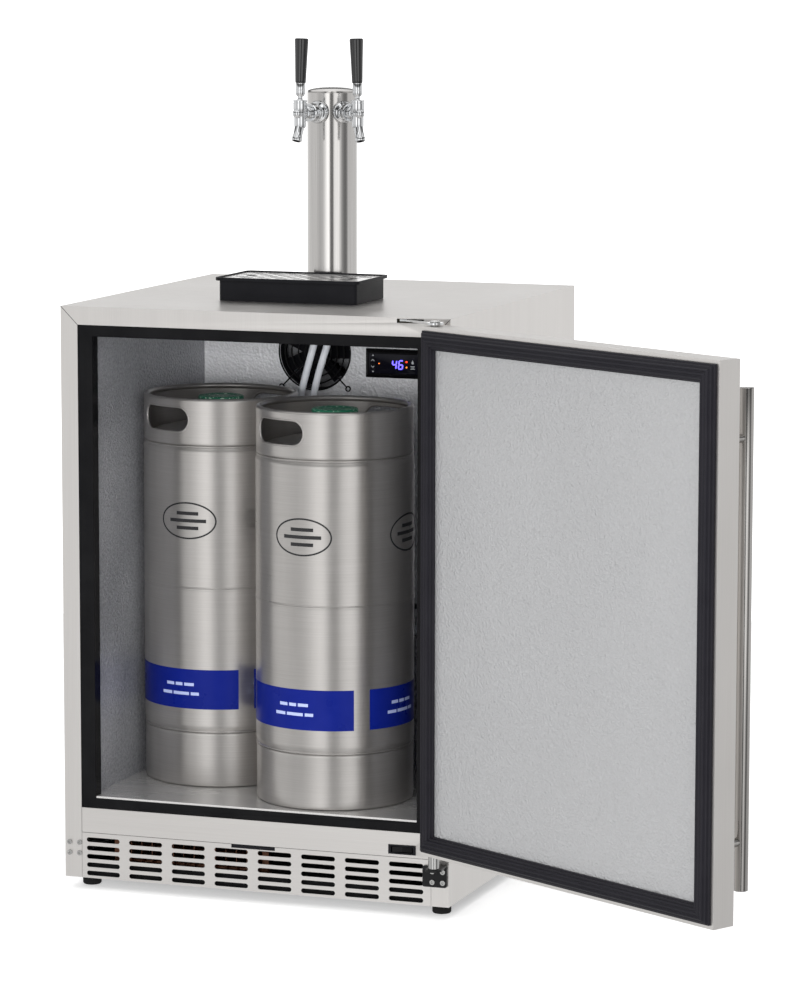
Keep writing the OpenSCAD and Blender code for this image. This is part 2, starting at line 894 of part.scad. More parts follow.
module drip_tray() {
    lip = 5;
    wall = 3;
    color(BLACK) translate([tower_x, tray_y, top_z + 0.05]) difference() {
        union() {
            linear_extrude(height = tray_h - 1) rounded_rect(tray_w - 2 * lip, tray_d - 2 * lip, 7);
            translate([0, 0, tray_h - lip])
                linear_extrude(height = lip) rounded_rect(tray_w, tray_d, 9);
        }
        translate([0, 0, 3]) linear_extrude(height = tray_h)
            rounded_rect(tray_w - 4 * lip, tray_d - 4 * lip, 6);
        translate([0, 0, tray_h - 3]) linear_extrude(height = tray_h)
            rounded_rect(tray_w - 2 * wall, tray_d - 2 * wall, 7);
    }
}

// A thin plate with staggered slots, and a round finger hole at each side to lift it by
module drip_grate() {
    columns = 7;
    rows = 7;
    slot_w = 7;
    land = 7;
    finger_r = 8.5;
    finger_x = 0.35 * tray_w;
    pitch_x = (tray_w - 34) / columns;
    pitch_y = (tray_d - 26) / rows;
    color(BRIGHT) translate([tower_x, tray_y, top_z + tray_h - 2.9]) difference() {
        linear_extrude(height = 0.8) rounded_rect(tray_w - 7, tray_d - 7, 6);
        for (side = [-1, 1]) {
            translate([side * finger_x, 0, -1]) cylinder(r = finger_r, h = 4);
        }
        for (i = [0:columns - 1], j = [0:rows - 1]) {
            x = (i - (columns - 1) / 2 + (j % 2) / 2 - 0.25) * pitch_x;
            y = (j - (rows - 1) / 2) * pitch_y;
            beside = abs(abs(x) - finger_x) > finger_r + pitch_x / 2;
            if (beside || abs(y) > finger_r + slot_w) {
                translate([x, y, -1]) linear_extrude(height = 4) slot_outline(pitch_x - land, slot_w);
            }
        }
    }
}

// ---------------------------------------------------------------- door

// Swings its children, drawn as on a shut door, to where the door stands
module on_door() {
    translate([pin_x, pin_y, 0]) rotate([0, 0, door_open]) translate([-pin_x, -pin_y, 0])
        children();
}

module bush_places(z_low, z_high, r, h) {
    for (z = [z_low, z_high]) {
        translate([pin_x, pin_y, z]) cylinder(r = r, h = h);
    }
}

module door_skin() {
    lip = 8;
    color(STEEL) on_door() difference() {
        box([door_left, door_out, door_z0], [door_right, door_in, door_z1]);
        box([door_left + skin_t, door_out + skin_t, door_z0 + skin_t],
            [door_right - skin_t, door_in - skin_t, door_z1 - skin_t]);
        box([door_left + lip, door_in - 3, door_z0 + lip],
            [door_right - lip, door_in + 1, door_z1 - lip]);
        bush_places(door_z0 - 1, door_z1 - 2, bush_r + 0.05, 3);
    }
}

module door_foam() {
    in = skin_t + eps;
    color(FOAM) on_door() difference() {
        box([door_left + in, door_out + in, door_z0 + in],
            [door_right - in, door_in - in, door_z1 - in]);
        bush_places(door_z0 - 1, door_z1 - 18, bush_r + 0.1, 19);
    }
}

module door_liner() {
    inset = 8.2;
    color(ALUMINIUM) on_door()
        box([door_left + inset, door_in - skin_t, door_z0 + inset],
            [door_right - inset, door_in, door_z1 - inset]);
}

// The magnetic seal, a frame that steps in towards its lip
module door_gasket() {
    seal = door_gap - 0.6;
    steps = [[5.4, 26.6, 0, 0.35], [8, 22, 0.35, 0.7], [12, 15, 0.7, 1]];
    color(CHARCOAL) on_door() for (s = steps) {
        out = s[0];
        frame([door_left + out, door_in + s[2] * seal + 0.05, door_z0 + out],
              [door_right - out, door_in + s[3] * seal + 0.05, door_z1 - out], s[1]);
    }
}

module door_handle() {
    color(BRIGHT) on_door() translate([handle_x, handle_y, handle_z]) {
        translate([0, 0, -handle_l / 2]) cylinder(r = 10, h = handle_l);
        for (s = [-1, 1]) {
            translate([0, 0, s * post_pitch / 2]) {
                rod_y(6, 0, 50 - 0.05);
                rod_y(9, 46, 50 - 0.05);
            }
        }
    }
}

module hinge_bushes() {
    color(CHARCOAL) on_door() difference() {
        bush_places(door_z0, door_z1 - 17, bush_r, 17);
        bush_places(door_z0 - 1, door_z1 - 18, pin_r + running_gap, 19);
    }
}

// ---------------------------------------------------------------- kegs

// One keg: pressed barrel with a neck, foot ring, and top ring with two hand holes
module keg_shell(place) {
    ring_r = keg_r - 1;
    color(BRIGHT) translate(place) rotate([0, 0, keg_turn]) difference() {
        union() {
            rotate_extrude() polygon([
                [0, 30], [90, 34], [110, 56], [115.5, low_seam - 2], [115.5, low_seam + 1],
                [keg_r, low_seam + 5], [keg_r, 300], [keg_r + 0.7, 301.2], [keg_r + 0.7, 303.8],
                [keg_r, 305], [keg_r, top_seam - 5], [115.5, top_seam - 1], [115.5, top_seam + 2],
                [111, 525], [80, 536], [31, 543], [31, 570],
                [27, 570], [27, 541], [79, 534], [109, 523.5],
                [113.5, top_seam - 2], [keg_r - 2, top_seam - 7], [keg_r - 2, low_seam + 7],
                [113.5, low_seam], [108.5, 58], [89, 36], [0, 32]
            ]);
            rotate_extrude() {
                polygon([
                    [ring_r - 3, rim_r], [ring_r, rim_r], [ring_r, low_seam - 1],
                    [ring_r - 3, low_seam - 1]
                ]);
                translate([ring_r - rim_r, rim_r]) circle(r = rim_r, $fn = 48);
            }
            rotate_extrude() {
                polygon([
                    [ring_r - 3, top_seam + 1], [ring_r, top_seam + 1],
                    [ring_r, keg_h - rim_r], [ring_r - 3, keg_h - rim_r]
                ]);
                translate([ring_r - rim_r, keg_h - rim_r]) circle(r = rim_r, $fn = 48);
            }
        }
        for (a = [0, 180]) {
            rotate([0, 0, a]) translate([0, 0, 555]) stand_y(-keg_r - 5, 45) slot_outline(98, 38);
        }
    }
}

// A push-on dust cap over the neck
module keg_cap(place) {
    color(GREEN) translate(place) difference() {
        union() {
            translate([0, 0, 562]) cylinder(r = 34.5, h = 17);
            translate([0, 0, 562]) cylinder(r = 37, h = 4);
            translate([0, 0, 578]) cylinder(r1 = 34.5, r2 = 32, h = 3);
        }
        translate([0, 0, 561]) cylinder(r = 31.3, h = 9.3);
    }
}

module keg_front_shell() {
    keg_shell(keg_front);
}

module keg_rear_shell() {
    keg_shell(keg_rear);
}

module keg_front_cap() {
    keg_cap(keg_front);
}

module keg_rear_cap() {
    keg_cap(keg_rear);
}

// ---------------------------------------------------------------- beer lines

function unit(v) = v / norm(v);

// Direction of a route at point i, from its neighbours
function heading(route, i) =
    unit(route[min(i + 1, len(route) - 1)] - route[max(i - 1, 0)]);

// A direction square to the heading, kept near +Y so that the rings don't twist
function side_of(h) = unit([0, 1, 0] - h * h.y);

function ring_points(route, i, r, sides) =
    let (h = heading(route, i), a = side_of(h), b = cross(h, a))
    [for (k = [0:sides - 1]) route[i] + r * (cos(k * 360 / sides) * a + sin(k * 360 / sides) * b)];

// Points between the hand-placed ones, on a smooth curve through all of them
function curve_point(p0, p1, p2, p3, t) =
    0.5 * (2 * p1 + (p2 - p0) * t + (2 * p0 - 5 * p1 + 4 * p2 - p3) * t * t
        + (3 * p1 - p0 - 3 * p2 + p3) * t * t * t);

function smooth(route, n) =
    let (last = len(route) - 1)
    concat(
        [for (i = [0:last - 1], k = [0:n - 1])
            curve_point(route[max(i - 1, 0)], route[i], route[i + 1],
                        route[min(i + 2, last)], k / n)],
        [route[last]]
    );

module hose(route, r, sides) {
    path = smooth(route, 2);
    rings = len(path);
    points = [for (i = [0:rings - 1]) each ring_points(path, i, r, sides)];
    walls = [for (i = [0:rings - 2], k = [0:sides - 1])
        [i * sides + k, i * sides + (k + 1) % sides,
         (i + 1) * sides + (k + 1) % sides, (i + 1) * sides + k]];
    first = [for (k = [0:sides - 1]) sides - 1 - k];
    last = [for (k = [0:sides - 1]) (rings - 1) * sides + k];
    polyhedron(points, concat([first], walls, [last]), convexity = 6);
}

module beer_line_left() {
    color(HOSE) hose(HOSE_LEFT, hose_r, 10);
}

module beer_line_right() {
    color(HOSE) hose(HOSE_RIGHT, hose_r, 10);
}

module line_grommet() {
    color(CHARCOAL) translate([tower_x, tower_y, 0]) {
        translate([0, 0, ceiling_z - 2.95]) cylinder(r = tower_bore + 4, h = 2.9);
        translate([0, 0, ceiling_z - 0.1]) cylinder(r = tower_bore - 0.2, h = 12);
    }
}

// Hexagon union nut on a tail piece, at the end of each beer line
module line_nut(end) {
    translate([end.x + 0.8, end.y, end.z]) {
        rod_x(4.5, 0, 10, 32);
        rod_x(9, 6, 9, 48);
        translate([9, 0, 0]) rotate([0, 90, 0]) rotate([0, 0, 30]) difference() {
            cylinder(r = 12.4, h = 17, $fn = 6);
            translate([0, 0, 3]) cylinder(r = 9, h = 15);
        }
    }
}

module line_nuts() {
    color(BRIGHT) {
        line_nut(HOSE_LEFT[len(HOSE_LEFT) - 1]);
        line_nut(HOSE_RIGHT[len(HOSE_RIGHT) - 1]);
    }
}

// ---------------------------------------------------------------- all nodes

outer_wrap();
back_panel();
base_pan();
foam_insulation();
inner_liner();
evaporator_cover();
evaporator_coil();
breaker_frame();
floor_plate();
lower_rail();
toe_grille();
grille_clip();
switch_bezel();
switch_rocker();
lower_hinge();
upper_hinge();
hinge_pins();
pan_screws();
compressor();
condenser_coil();
condenser_fan_frame();
condenser_fan_rotor();
power_inlet();
evaporator_fan_frame();
evaporator_fan_rotor();
evaporator_fan_guard();
controller_housing();
controller_lens();
button_up();
button_down();
foot_front_left();
foot_front_right();
foot_rear_left();
foot_rear_right();
tower_column();
tower_cap();
shank_left();
shank_right();
faucet_left();
faucet_right();
lever_left();
lever_right();
tap_handle_left();
tap_handle_right();
drip_tray();
drip_grate();
door_skin();
door_foam();
door_liner();
door_gasket();
door_handle();
hinge_bushes();
keg_front_shell();
keg_rear_shell();
keg_front_cap();
keg_rear_cap();
line_grommet();
beer_line_left();
beer_line_right();
line_nuts();
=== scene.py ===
# The looks of an undercounter kegerator: finished meshes and procedural materials on the CAD frame.
# Everything is in metres in the row frame. MM turns the millimetres of small details into metres.
from contextlib import contextmanager
import json
from math import atan2, ceil, cos, degrees, dist, pi, radians, sin

import bmesh
import bpy
from mathutils import Matrix, Vector

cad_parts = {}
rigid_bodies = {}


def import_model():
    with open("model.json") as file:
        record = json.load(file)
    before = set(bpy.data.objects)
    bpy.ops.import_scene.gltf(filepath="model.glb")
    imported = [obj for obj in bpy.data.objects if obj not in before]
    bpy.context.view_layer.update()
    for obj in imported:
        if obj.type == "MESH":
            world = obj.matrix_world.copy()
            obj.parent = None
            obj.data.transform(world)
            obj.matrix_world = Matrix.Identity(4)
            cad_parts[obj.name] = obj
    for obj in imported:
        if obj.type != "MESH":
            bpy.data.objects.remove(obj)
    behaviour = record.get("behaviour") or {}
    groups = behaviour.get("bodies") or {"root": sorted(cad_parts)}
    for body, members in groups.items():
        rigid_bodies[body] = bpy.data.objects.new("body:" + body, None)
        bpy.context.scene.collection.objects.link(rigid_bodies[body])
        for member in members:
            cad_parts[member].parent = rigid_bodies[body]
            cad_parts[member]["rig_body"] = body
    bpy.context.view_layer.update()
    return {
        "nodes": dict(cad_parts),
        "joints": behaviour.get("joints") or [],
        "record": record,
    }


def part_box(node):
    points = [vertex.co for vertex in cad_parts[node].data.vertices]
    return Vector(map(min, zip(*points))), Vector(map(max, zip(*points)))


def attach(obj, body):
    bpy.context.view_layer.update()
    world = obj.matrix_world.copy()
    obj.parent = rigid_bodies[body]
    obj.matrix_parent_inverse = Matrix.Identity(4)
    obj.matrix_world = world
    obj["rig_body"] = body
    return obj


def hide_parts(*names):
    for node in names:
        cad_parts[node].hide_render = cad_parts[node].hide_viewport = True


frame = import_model()

MM = 0.001
NODES = frame["nodes"]
JOINTS = {joint["name"]: joint for joint in frame["joints"]}
SLOT_OF = {part["node"]: part["material_slot"] for part in frame["record"]["subparts"]}
DOOR_OPEN = radians(-min(JOINTS["door_hinge"]["range_deg"]))


# ---- camera

CAMERA_PLACE = (2.2525, -5.9916, 1.4488)
CAMERA_AZIMUTH = radians(19.55)
CAMERA_TILT = radians(7.89)
CAMERA_ROLL = radians(-0.09)
# Lens and sensor in millimetres
CAMERA_LENS, CAMERA_SENSOR = 152.95, 36
CAMERA_SIGHT = 60


def new_object(name, data):
    obj = bpy.data.objects.new(name, data)
    bpy.context.scene.collection.objects.link(obj)
    return obj


def make_camera():
    data = bpy.data.cameras.new("camera")
    data.lens = CAMERA_LENS
    data.sensor_width = CAMERA_SENSOR
    data.clip_end = CAMERA_SIGHT
    camera = new_object("camera", data)
    camera.location = CAMERA_PLACE
    camera.rotation_euler = (pi / 2 - CAMERA_TILT, CAMERA_ROLL, CAMERA_AZIMUTH)
    bpy.context.scene.camera = camera


make_camera()


# ---- materials

# How far roughness swings, as shares of a look's own: where the surface is smoothest and roughest
BRUSHED_SWING = (0.9, 1.12)
MOULDED_SWING = (0.85, 1.15)
POLISHED_SWING = (0.7, 1.6)

LOOKS = {}


class Tree:
    """The nodes of a material or world, with short calls to add and to link them."""

    def __init__(self, owner):
        owner.use_nodes = True
        self.tree = owner.node_tree

    def add(self, kind, inputs=None, **settings):
        node = self.tree.nodes.new(kind)
        for key, value in settings.items():
            setattr(node, key, value)
        for key, value in (inputs or {}).items():
            if isinstance(value, bpy.types.NodeSocket):
                self.tree.links.new(value, node.inputs[key])
            else:
                node.inputs[key].default_value = value
        return node

    def maths(self, kind, *values):
        return self.add("ShaderNodeMath", dict(enumerate(values)), operation=kind).outputs[0]


class Graph(Tree):
    """One node material, with short calls for its patterns."""

    def __init__(self, name):
        LOOKS[name] = bpy.data.materials.new(name)
        super().__init__(LOOKS[name])
        self.shader = self.tree.nodes["Principled BSDF"]
        self.places = self.add("ShaderNodeTexCoord").outputs["Object"]

    def set(self, **values):
        """Numbers that are the same all over, on the shader's sockets."""
        for key, value in values.items():
            self.shader.inputs[key.replace("_", " ")].default_value = value

    def stretched(self, scale):
        """The object's coordinates, times one number or times one for each axis."""
        scale = scale if isinstance(scale, tuple) else (scale,) * 3
        node = self.add("ShaderNodeMapping", {"Vector": self.places, "Scale": scale})
        return node.outputs["Vector"]

    def noise(self, scale, detail=3.0, roughness=0.55, distortion=0.0):
        """Noise from 0 to 1, whose features are about 1 / scale metres along each axis."""
        node = self.add("ShaderNodeTexNoise", {
            "Vector": self.stretched(scale), "Scale": 1.0, "Detail": detail,
            "Roughness": roughness, "Distortion": distortion})
        return node.outputs["Fac"]

    def cells(self, scale):
        """Rounded cells about 1 / scale metres across, from 0 in their middles."""
        node = self.add("ShaderNodeTexVoronoi", {
            "Vector": self.stretched(scale), "Scale": 1.0, "Smoothness": 0.8}, feature="SMOOTH_F1")
        return node.outputs["Distance"]

    def spread(self, value, low, high, start=0.3, end=0.7):
        """Low where the value is at the start or under it, and high from the end on."""
        node = self.add("ShaderNodeMapRange", {
            "Value": value, "From Min": start, "From Max": end, "To Min": low, "To Max": high})
        return node.outputs["Result"]

    def gloss(self, value, rough, swing, start=0.3, end=0.7):
        """Roughness that swings about a look's own."""
        return self.spread(value, rough * swing[0], rough * swing[1], start, end)

    def colours(self, value, dark, light, start=0.3, end=0.7):
        node = self.add("ShaderNodeMix", {"Factor": self.spread(value, 0, 1, start, end)},
                        data_type="RGBA")
        ends = [socket for socket in node.inputs if socket.type == "RGBA"]
        ends[0].default_value = (*dark, 1)
        ends[1].default_value = (*light, 1)
        return next(socket for socket in node.outputs if socket.type == "RGBA")

    def bump(self, height, depth):
        return self.add("ShaderNodeBump", {"Height": height, "Distance": depth}).outputs["Normal"]

    def finish(self, colour, roughness, normal=None):
        for name, value in (("Base Color", colour), ("Roughness", roughness), ("Normal", normal)):
            if value is not None:
                self.tree.links.new(value, self.shader.inputs[name])


def brushed_steel(name, dark, light, rough, brush, streak, depth=0.00002, metallic=1.0):
    """Metal with fine brush lines, slow streaks and clouded roughness."""
    g = Graph(name)
    g.set(Metallic=metallic)
    lines = g.noise(brush, detail=2.0, roughness=0.7)
    streaks = g.noise(streak, detail=2.0)
    clouds = g.noise((7, 7, 5), detail=4.0)
    both = g.maths("MULTIPLY", g.maths("ADD", lines, streaks), 0.5)
    roughness = g.gloss(g.maths("ADD", both, clouds), rough, BRUSHED_SWING, 0.7, 1.3)
    g.finish(g.colours(both, dark, light), roughness, g.bump(lines, depth))


def stucco_metal(name, dark, light, rough, cell, depth, metallic=0.85):
    """Embossed sheet: pebbled raised marks, so many cells to a metre."""
    g = Graph(name)
    g.set(Metallic=metallic)
    wander = g.noise(cell * 0.8, detail=2.0, distortion=0.6)
    height = g.maths("MULTIPLY", wander, g.cells(cell))
    slow = g.noise((4, 4, 3))
    colour = g.colours(g.maths("ADD", slow, wander), dark, light, 0.75, 1.3)
    g.finish(colour, g.gloss(slow, rough, MOULDED_SWING), g.bump(height, depth))


def polished(name, colour, rough=0.07):
    """Plated or bare metal with a faint haze and fine wear."""
    g = Graph(name)
    g.set(Metallic=1.0)
    haze = g.noise(60, detail=4.0)
    worn = g.noise(900, detail=1.0)
    tinted = g.colours(haze, tuple(c * 0.94 for c in colour), colour)
    g.finish(tinted, g.gloss(haze, rough, POLISHED_SWING), g.bump(worn, 0.000004))


def plastic(name, colour, rough, grain=1500, depth=0.00003, shine=0.5, lift=1.1):
    """Moulded plastic or paint with a fine grain and faint cloudy gloss."""
    g = Graph(name)
    g.set(Specular_IOR_Level=shine)
    fine = g.noise(grain, detail=2.0)
    clouds = g.noise(25, detail=4.0)
    tinted = g.colours(clouds, colour, tuple(min(1, c * lift + 0.002) for c in colour))
    g.finish(tinted, g.gloss(clouds, rough, MOULDED_SWING), g.bump(fine, depth))


def speckled(name, colour, specks, rough):
    """Plastic with pale specks a few millimetres across."""
    g = Graph(name)
    spots = g.noise(330, detail=1.0)
    clouds = g.noise(40)
    tinted = g.colours(spots, colour, specks, 0.60, 0.66)
    g.finish(tinted, g.spread(clouds, rough, rough + 0.12), g.bump(spots, 0.00005))


def milky_vinyl(name):
    """Tubing that lets a little light through."""
    g = Graph(name)
    g.set(Transmission_Weight=0.12, IOR=1.45)
    clouds = g.noise((90, 90, 30))
    tinted = g.colours(clouds, (0.72, 0.75, 0.80), (0.90, 0.93, 0.97))
    g.finish(tinted, g.spread(clouds, 0.14, 0.28), g.bump(clouds, 0.0001))


def glowing(name, colour, strength):
    """A lit segment or lamp."""
    g = Graph(name)
    fine = g.noise(900)
    tinted = g.colours(fine, tuple(c * 0.85 for c in colour), colour)
    g.set(Emission_Strength=strength)
    g.tree.links.new(tinted, g.shader.inputs["Emission Color"])
    g.finish(tinted, g.spread(fine, 0.2, 0.3))


def make_looks():
    """Every look, under the name that the pieces call it by."""
    sheet = ((0.81, 0.785, 0.760), (0.875, 0.850, 0.825))
    plate_grain = ((5, 1100, 1100), (1.5, 30, 30))
    tube_grain = ((900, 900, 8), (80, 80, 1))
    jet = (0.003, 0.003, 0.0035)
    brushed_steel("stainless", *sheet, 0.34, (900, 900, 6), (40, 40, 1.5))
    brushed_steel("stainless_flat", *sheet, 0.34, (6, 900, 900), (1.5, 40, 40))
    brushed_steel("bright_plate", (0.64, 0.63, 0.62), (0.80, 0.79, 0.78), 0.26, *plate_grain,
                  metallic=0.75)
    brushed_steel("grate_plate", (0.76, 0.75, 0.74), (0.90, 0.89, 0.88), 0.22, *plate_grain,
                  metallic=0.75)
    # Painted shade: the dark look on the drip grate's punched slot walls
    polished("punched_edge_painted_shade", (0.10, 0.10, 0.10), 0.4)
    stucco_metal("zinc_sheet", (0.56, 0.57, 0.585), (0.64, 0.65, 0.665), 0.45, 90, 0.00003)
    # Painted shade: a near-black copy of zinc_sheet for the base pan, which sits in shade under the
    # cabinet
    stucco_metal("zinc_painted_shade", (0.015, 0.015, 0.016), (0.03, 0.03, 0.032), 0.7, 60, 0.00004)
    plastic("insulation", (0.10, 0.09, 0.06), 0.85, 500, 0.0004)
    stucco_metal("liner_aluminium", (0.26, 0.265, 0.285), (0.52, 0.525, 0.55), 0.36, 280, 0.0036,
                 metallic=0.5)
    stucco_metal("cover_aluminium", (0.86, 0.865, 0.89), (0.95, 0.955, 0.98), 0.30, 270, 0.0030,
                 metallic=0.35)
    stucco_metal("embossed_aluminium", (0.48, 0.482, 0.49), (0.54, 0.542, 0.55), 0.42, 290, 0.0016,
                 metallic=0.7)
    plastic("gloss_black", jet, 0.16, 700, 0.00001, shine=0.12)
    plastic("grip_black", jet, 0.09, 700, 0.000005, shine=0.9)
    plastic("bezel_black", (0.004, 0.004, 0.0045), 0.2, 700, 0.00001, shine=0.08)
    plastic("satin_black", (0.006, 0.006, 0.0075), 0.34, shine=0.12)
    plastic("black_steel", (0.006, 0.006, 0.0065), 0.34, 1100, 0.00005, shine=0.2)
    polished("chrome", (0.78, 0.79, 0.80))
    polished("screw_steel", (0.55, 0.55, 0.54), 0.16)
    brushed_steel("tower_steel", (0.54, 0.525, 0.51), (0.68, 0.665, 0.65), 0.12, *tube_grain)
    # Painted shade: tower_steel darkened for the door handle, which faces away from the lights
    brushed_steel("handle_steel_painted_shade", (0.40, 0.385, 0.37), (0.56, 0.545, 0.53), 0.13, *tube_grain)
    polished("condenser_copper", (0.34, 0.17, 0.11), 0.4)
    plastic("dark_lens", (0.004, 0.004, 0.008), 0.08, 300, 0.000004, shine=0.2)
    plastic("foot_rubber", (0.008, 0.008, 0.008), 0.7, 900, 0.00012, shine=0.15)
    plastic("seal_rubber", (0.010, 0.0095, 0.0125), 0.42, 800, 0.00004, shine=0.16)
    brushed_steel("keg_steel", (0.47, 0.452, 0.433), (0.58, 0.56, 0.543), 0.30, (10, 10, 800),
                  (30, 30, 2.5), 0.000008, metallic=0.93)
    speckled("green_plastic", (0.008, 0.12, 0.065), (0.45, 0.62, 0.5), 0.42)
    plastic("band_print", (0.002, 0.008, 0.13), 0.3, 600, 0.00002, shine=0.1)
    plastic("print_pale", (0.30, 0.35, 0.56), 0.4, 600, 0.00002)
    plastic("print_dark", (0.012, 0.012, 0.013), 0.42, shine=0.3, lift=1.5)
    glowing("digits", (0.13, 0.10, 1.0), 3.0)
    glowing("red_light", (1.0, 0.04, 0.01), 3.0)
    glowing("amber_light", (1.0, 0.25, 0.03), 2.0)
    plastic("mark", (0.42, 0.44, 0.46), 0.5, lift=1.15)
    milky_vinyl("beer_hose")


make_looks()


# ---- mesh helpers

# Points this close are merged, and faces this near to one plane
SAME_POINT = 0.002 * MM
SAME_PLANE = radians(0.6)
# CAD edges sharper than this many degrees are rounded
CRISP_EDGE = 32


@contextmanager
def editing(mesh):
    """The mesh as a bmesh, which is written back at the end."""
    bm = bmesh.new()
    bm.from_mesh(mesh)
    yield bm
    bm.to_mesh(mesh)
    bm.free()


def mesh_object(name, points, faces, place=None):
    """Points in millimetres, put where the matrix says, in metres."""
    mesh = bpy.data.meshes.new(name)
    place = place or Matrix.Identity(4)
    mesh.from_pydata([place @ (Vector(p) * MM) for p in points], [], faces)
    with editing(mesh) as bm:
        bmesh.ops.recalc_face_normals(bm, faces=bm.faces)
    return new_object(name, mesh)


def shade(obj, angle=35):
    """Smooth faces, with edges sharper than the angle kept crisp."""
    for face in obj.data.polygons:
        face.use_smooth = True
    obj.data.set_sharp_from_angle(angle=radians(angle))
    return obj


def bevelled(obj, width, segments=2, angle=30):
    """Rounds the edges sharper than the angle. The width is in millimetres."""
    edge = obj.modifiers.new("edges", "BEVEL")
    edge.width = width * MM
    edge.segments = segments
    edge.limit_method = "ANGLE"
    edge.angle_limit = radians(angle)
    edge.harden_normals = True
    edge.miter_outer = "MITER_ARC"
    return obj


def paint(obj, look):
    obj.data.materials.clear()
    obj.data.materials.append(LOOKS[look])


def piece(obj, body, slot, *nodes, look=None):
    """Attaches a piece to its body, paints its look or the slot's, hides the CAD nodes it replaces.
    """
    paint(obj, look or slot)
    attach(obj, body)
    if nodes:
        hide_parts(*nodes)
    return obj


def circle(radius, sides):
    turns = [2 * pi * k / sides for k in range(sides)]
    return [(radius * cos(turn), radius * sin(turn)) for turn in turns]


def lathe(name, outline, place, sides=96, closed=False):
    """Turns (radius, height) points about Z.

    A closed outline makes a ring. An open one starts and ends on Z.
    """
    points, rings = [], []
    for r, z in outline:
        if r < 1e-6:
            rings.append([len(points)])
            points.append((0, 0, z))
            continue
        rings.append(range(len(points), len(points) + sides))
        points += [(x, y, z) for x, y in circle(r, sides)]
    pairs = list(zip(rings, rings[1:])) + ([(rings[-1], rings[0])] if closed else [])
    faces = []
    for a, b in pairs:
        for k in range(sides):
            n = (k + 1) % sides
            corners = [a[k % len(a)], a[n % len(a)], b[n % len(b)], b[k % len(b)]]
            faces.append(list(dict.fromkeys(corners)))
    return shade(mesh_object(name, points, [f for f in faces if len(f) > 2], place))


def arc(r, z, radius, start, end, steps=8):
    """(radius, height) points of an arc about (r, z), from one angle to another in degrees."""
    angles = [radians(start + (end - start) * i / steps) for i in range(steps + 1)]
    return [(r + radius * cos(a), z + radius * sin(a)) for a in angles]


def tube(name, path, radius, sides, closed, place):
    """A round tube along a list of points in millimetres."""
    count = len(path)
    points, faces = [], []
    up = None
    for i, point in enumerate(path):
        before = path[(i - 1) % count] if closed else path[max(i - 1, 0)]
        after = path[(i + 1) % count] if closed else path[min(i + 1, count - 1)]
        ahead = (Vector(after) - Vector(before)).normalized()
        if up is None:
            up = Vector((0, 0, 1)) if abs(ahead.z) < 0.9 else Vector((1, 0, 0))
        side = ahead.cross(up).normalized()
        up = side.cross(ahead).normalized()
        for k in range(sides):
            turn = 2 * pi * k / sides
            points.append(Vector(point) + radius * (cos(turn) * side + sin(turn) * up))
    for i in range(count if closed else count - 1):
        for k in range(sides):
            j, n = (i + 1) % count, (k + 1) % sides
            faces.append([i * sides + k, i * sides + n, j * sides + n, j * sides + k])
    if not closed:
        faces += [list(range(sides)), list(range((count - 1) * sides, count * sides))]
    return shade(mesh_object(name, points, faces, place), 50)


def slab_faces(n):
    """Faces of a slab whose first n points are its back outline and the next n its front."""
    around = [[i, (i + 1) % n, n + (i + 1) % n, n + i] for i in range(n)]
    return [list(range(n))[::-1], list(range(n, 2 * n))] + around


def plate(name, outline, thickness, place):
    """A flat plate: the outline lies in the place's XY plane and the plate rises along its Z."""
    points = [(x, y, 0) for x, y in outline] + [(x, y, thickness) for x, y in outline]
    return mesh_object(name, points, slab_faces(len(outline)), place)


def joined(name, objects):
    """Several objects as one piece."""
    bm = bmesh.new()
    for obj in objects:
        bm.from_mesh(obj.data)
        bpy.data.objects.remove(obj)
    mesh = bpy.data.meshes.new(name)
    bm.to_mesh(mesh)
    bm.free()
    return new_object(name, mesh)


def refined(node, look, width, segments=2):
    """Replaces a CAD node with its own shape, with softened edges and a finished surface."""
    obj = new_object(node + "_finished", NODES[node].data.copy())
    with editing(obj.data) as bm:
        bmesh.ops.remove_doubles(bm, verts=bm.verts, dist=SAME_POINT)
        bmesh.ops.dissolve_limit(bm, angle_limit=SAME_PLANE, verts=bm.verts, edges=bm.edges)
    bevelled(shade(obj, CRISP_EDGE), width, segments, CRISP_EDGE)
    return piece(obj, NODES[node]["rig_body"], SLOT_OF[node], node, look=look)


def frame_at(x, y, z, turn=0.0):
    """A place in millimetres, turned about Z."""
    return Matrix.Translation(Vector((x, y, z)) * MM) @ Matrix.Rotation(radians(turn), 4, "Z")


# Stands a piece's Z axis along +Y, so that what was up faces the back
TO_BACK = Matrix.Rotation(radians(-90), 4, "X")
# Stands a piece's Z axis along -Y, towards the front, with its X to the right and its Y up
TO_FRONT = Matrix.Rotation(radians(90), 4, "X")


def middle(node):
    low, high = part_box(node)
    return (Vector(low) + Vector(high)) / 2 / MM


# ---- beer lines

# The routes of the CAD hoses, from the grommet in the ceiling to the union nuts on the step
HOSE_RADIUS = 0.0055
HOSE_LEFT = [
    (-0.034, 0.055, 0.831), (-0.034, 0.055, 0.812), (-0.038, 0.056, 0.794), (-0.045, 0.058, 0.772),
    (-0.054, 0.061, 0.744), (-0.063, 0.064, 0.712), (-0.070, 0.068, 0.676), (-0.075, 0.073, 0.632),
    (-0.077, 0.078, 0.580), (-0.078, 0.083, 0.525), (-0.078, 0.088, 0.470), (-0.077, 0.092, 0.430),
    (-0.071, 0.095, 0.397), (-0.057, 0.097, 0.372), (-0.036, 0.098, 0.358), (-0.008, 0.098, 0.354),
    (0.030, 0.098, 0.3537), (0.072, 0.099, 0.3537), (0.114, 0.102, 0.3537), (0.152, 0.103, 0.3539),
    (0.184, 0.102, 0.356), (0.206, 0.101, 0.3592),
]
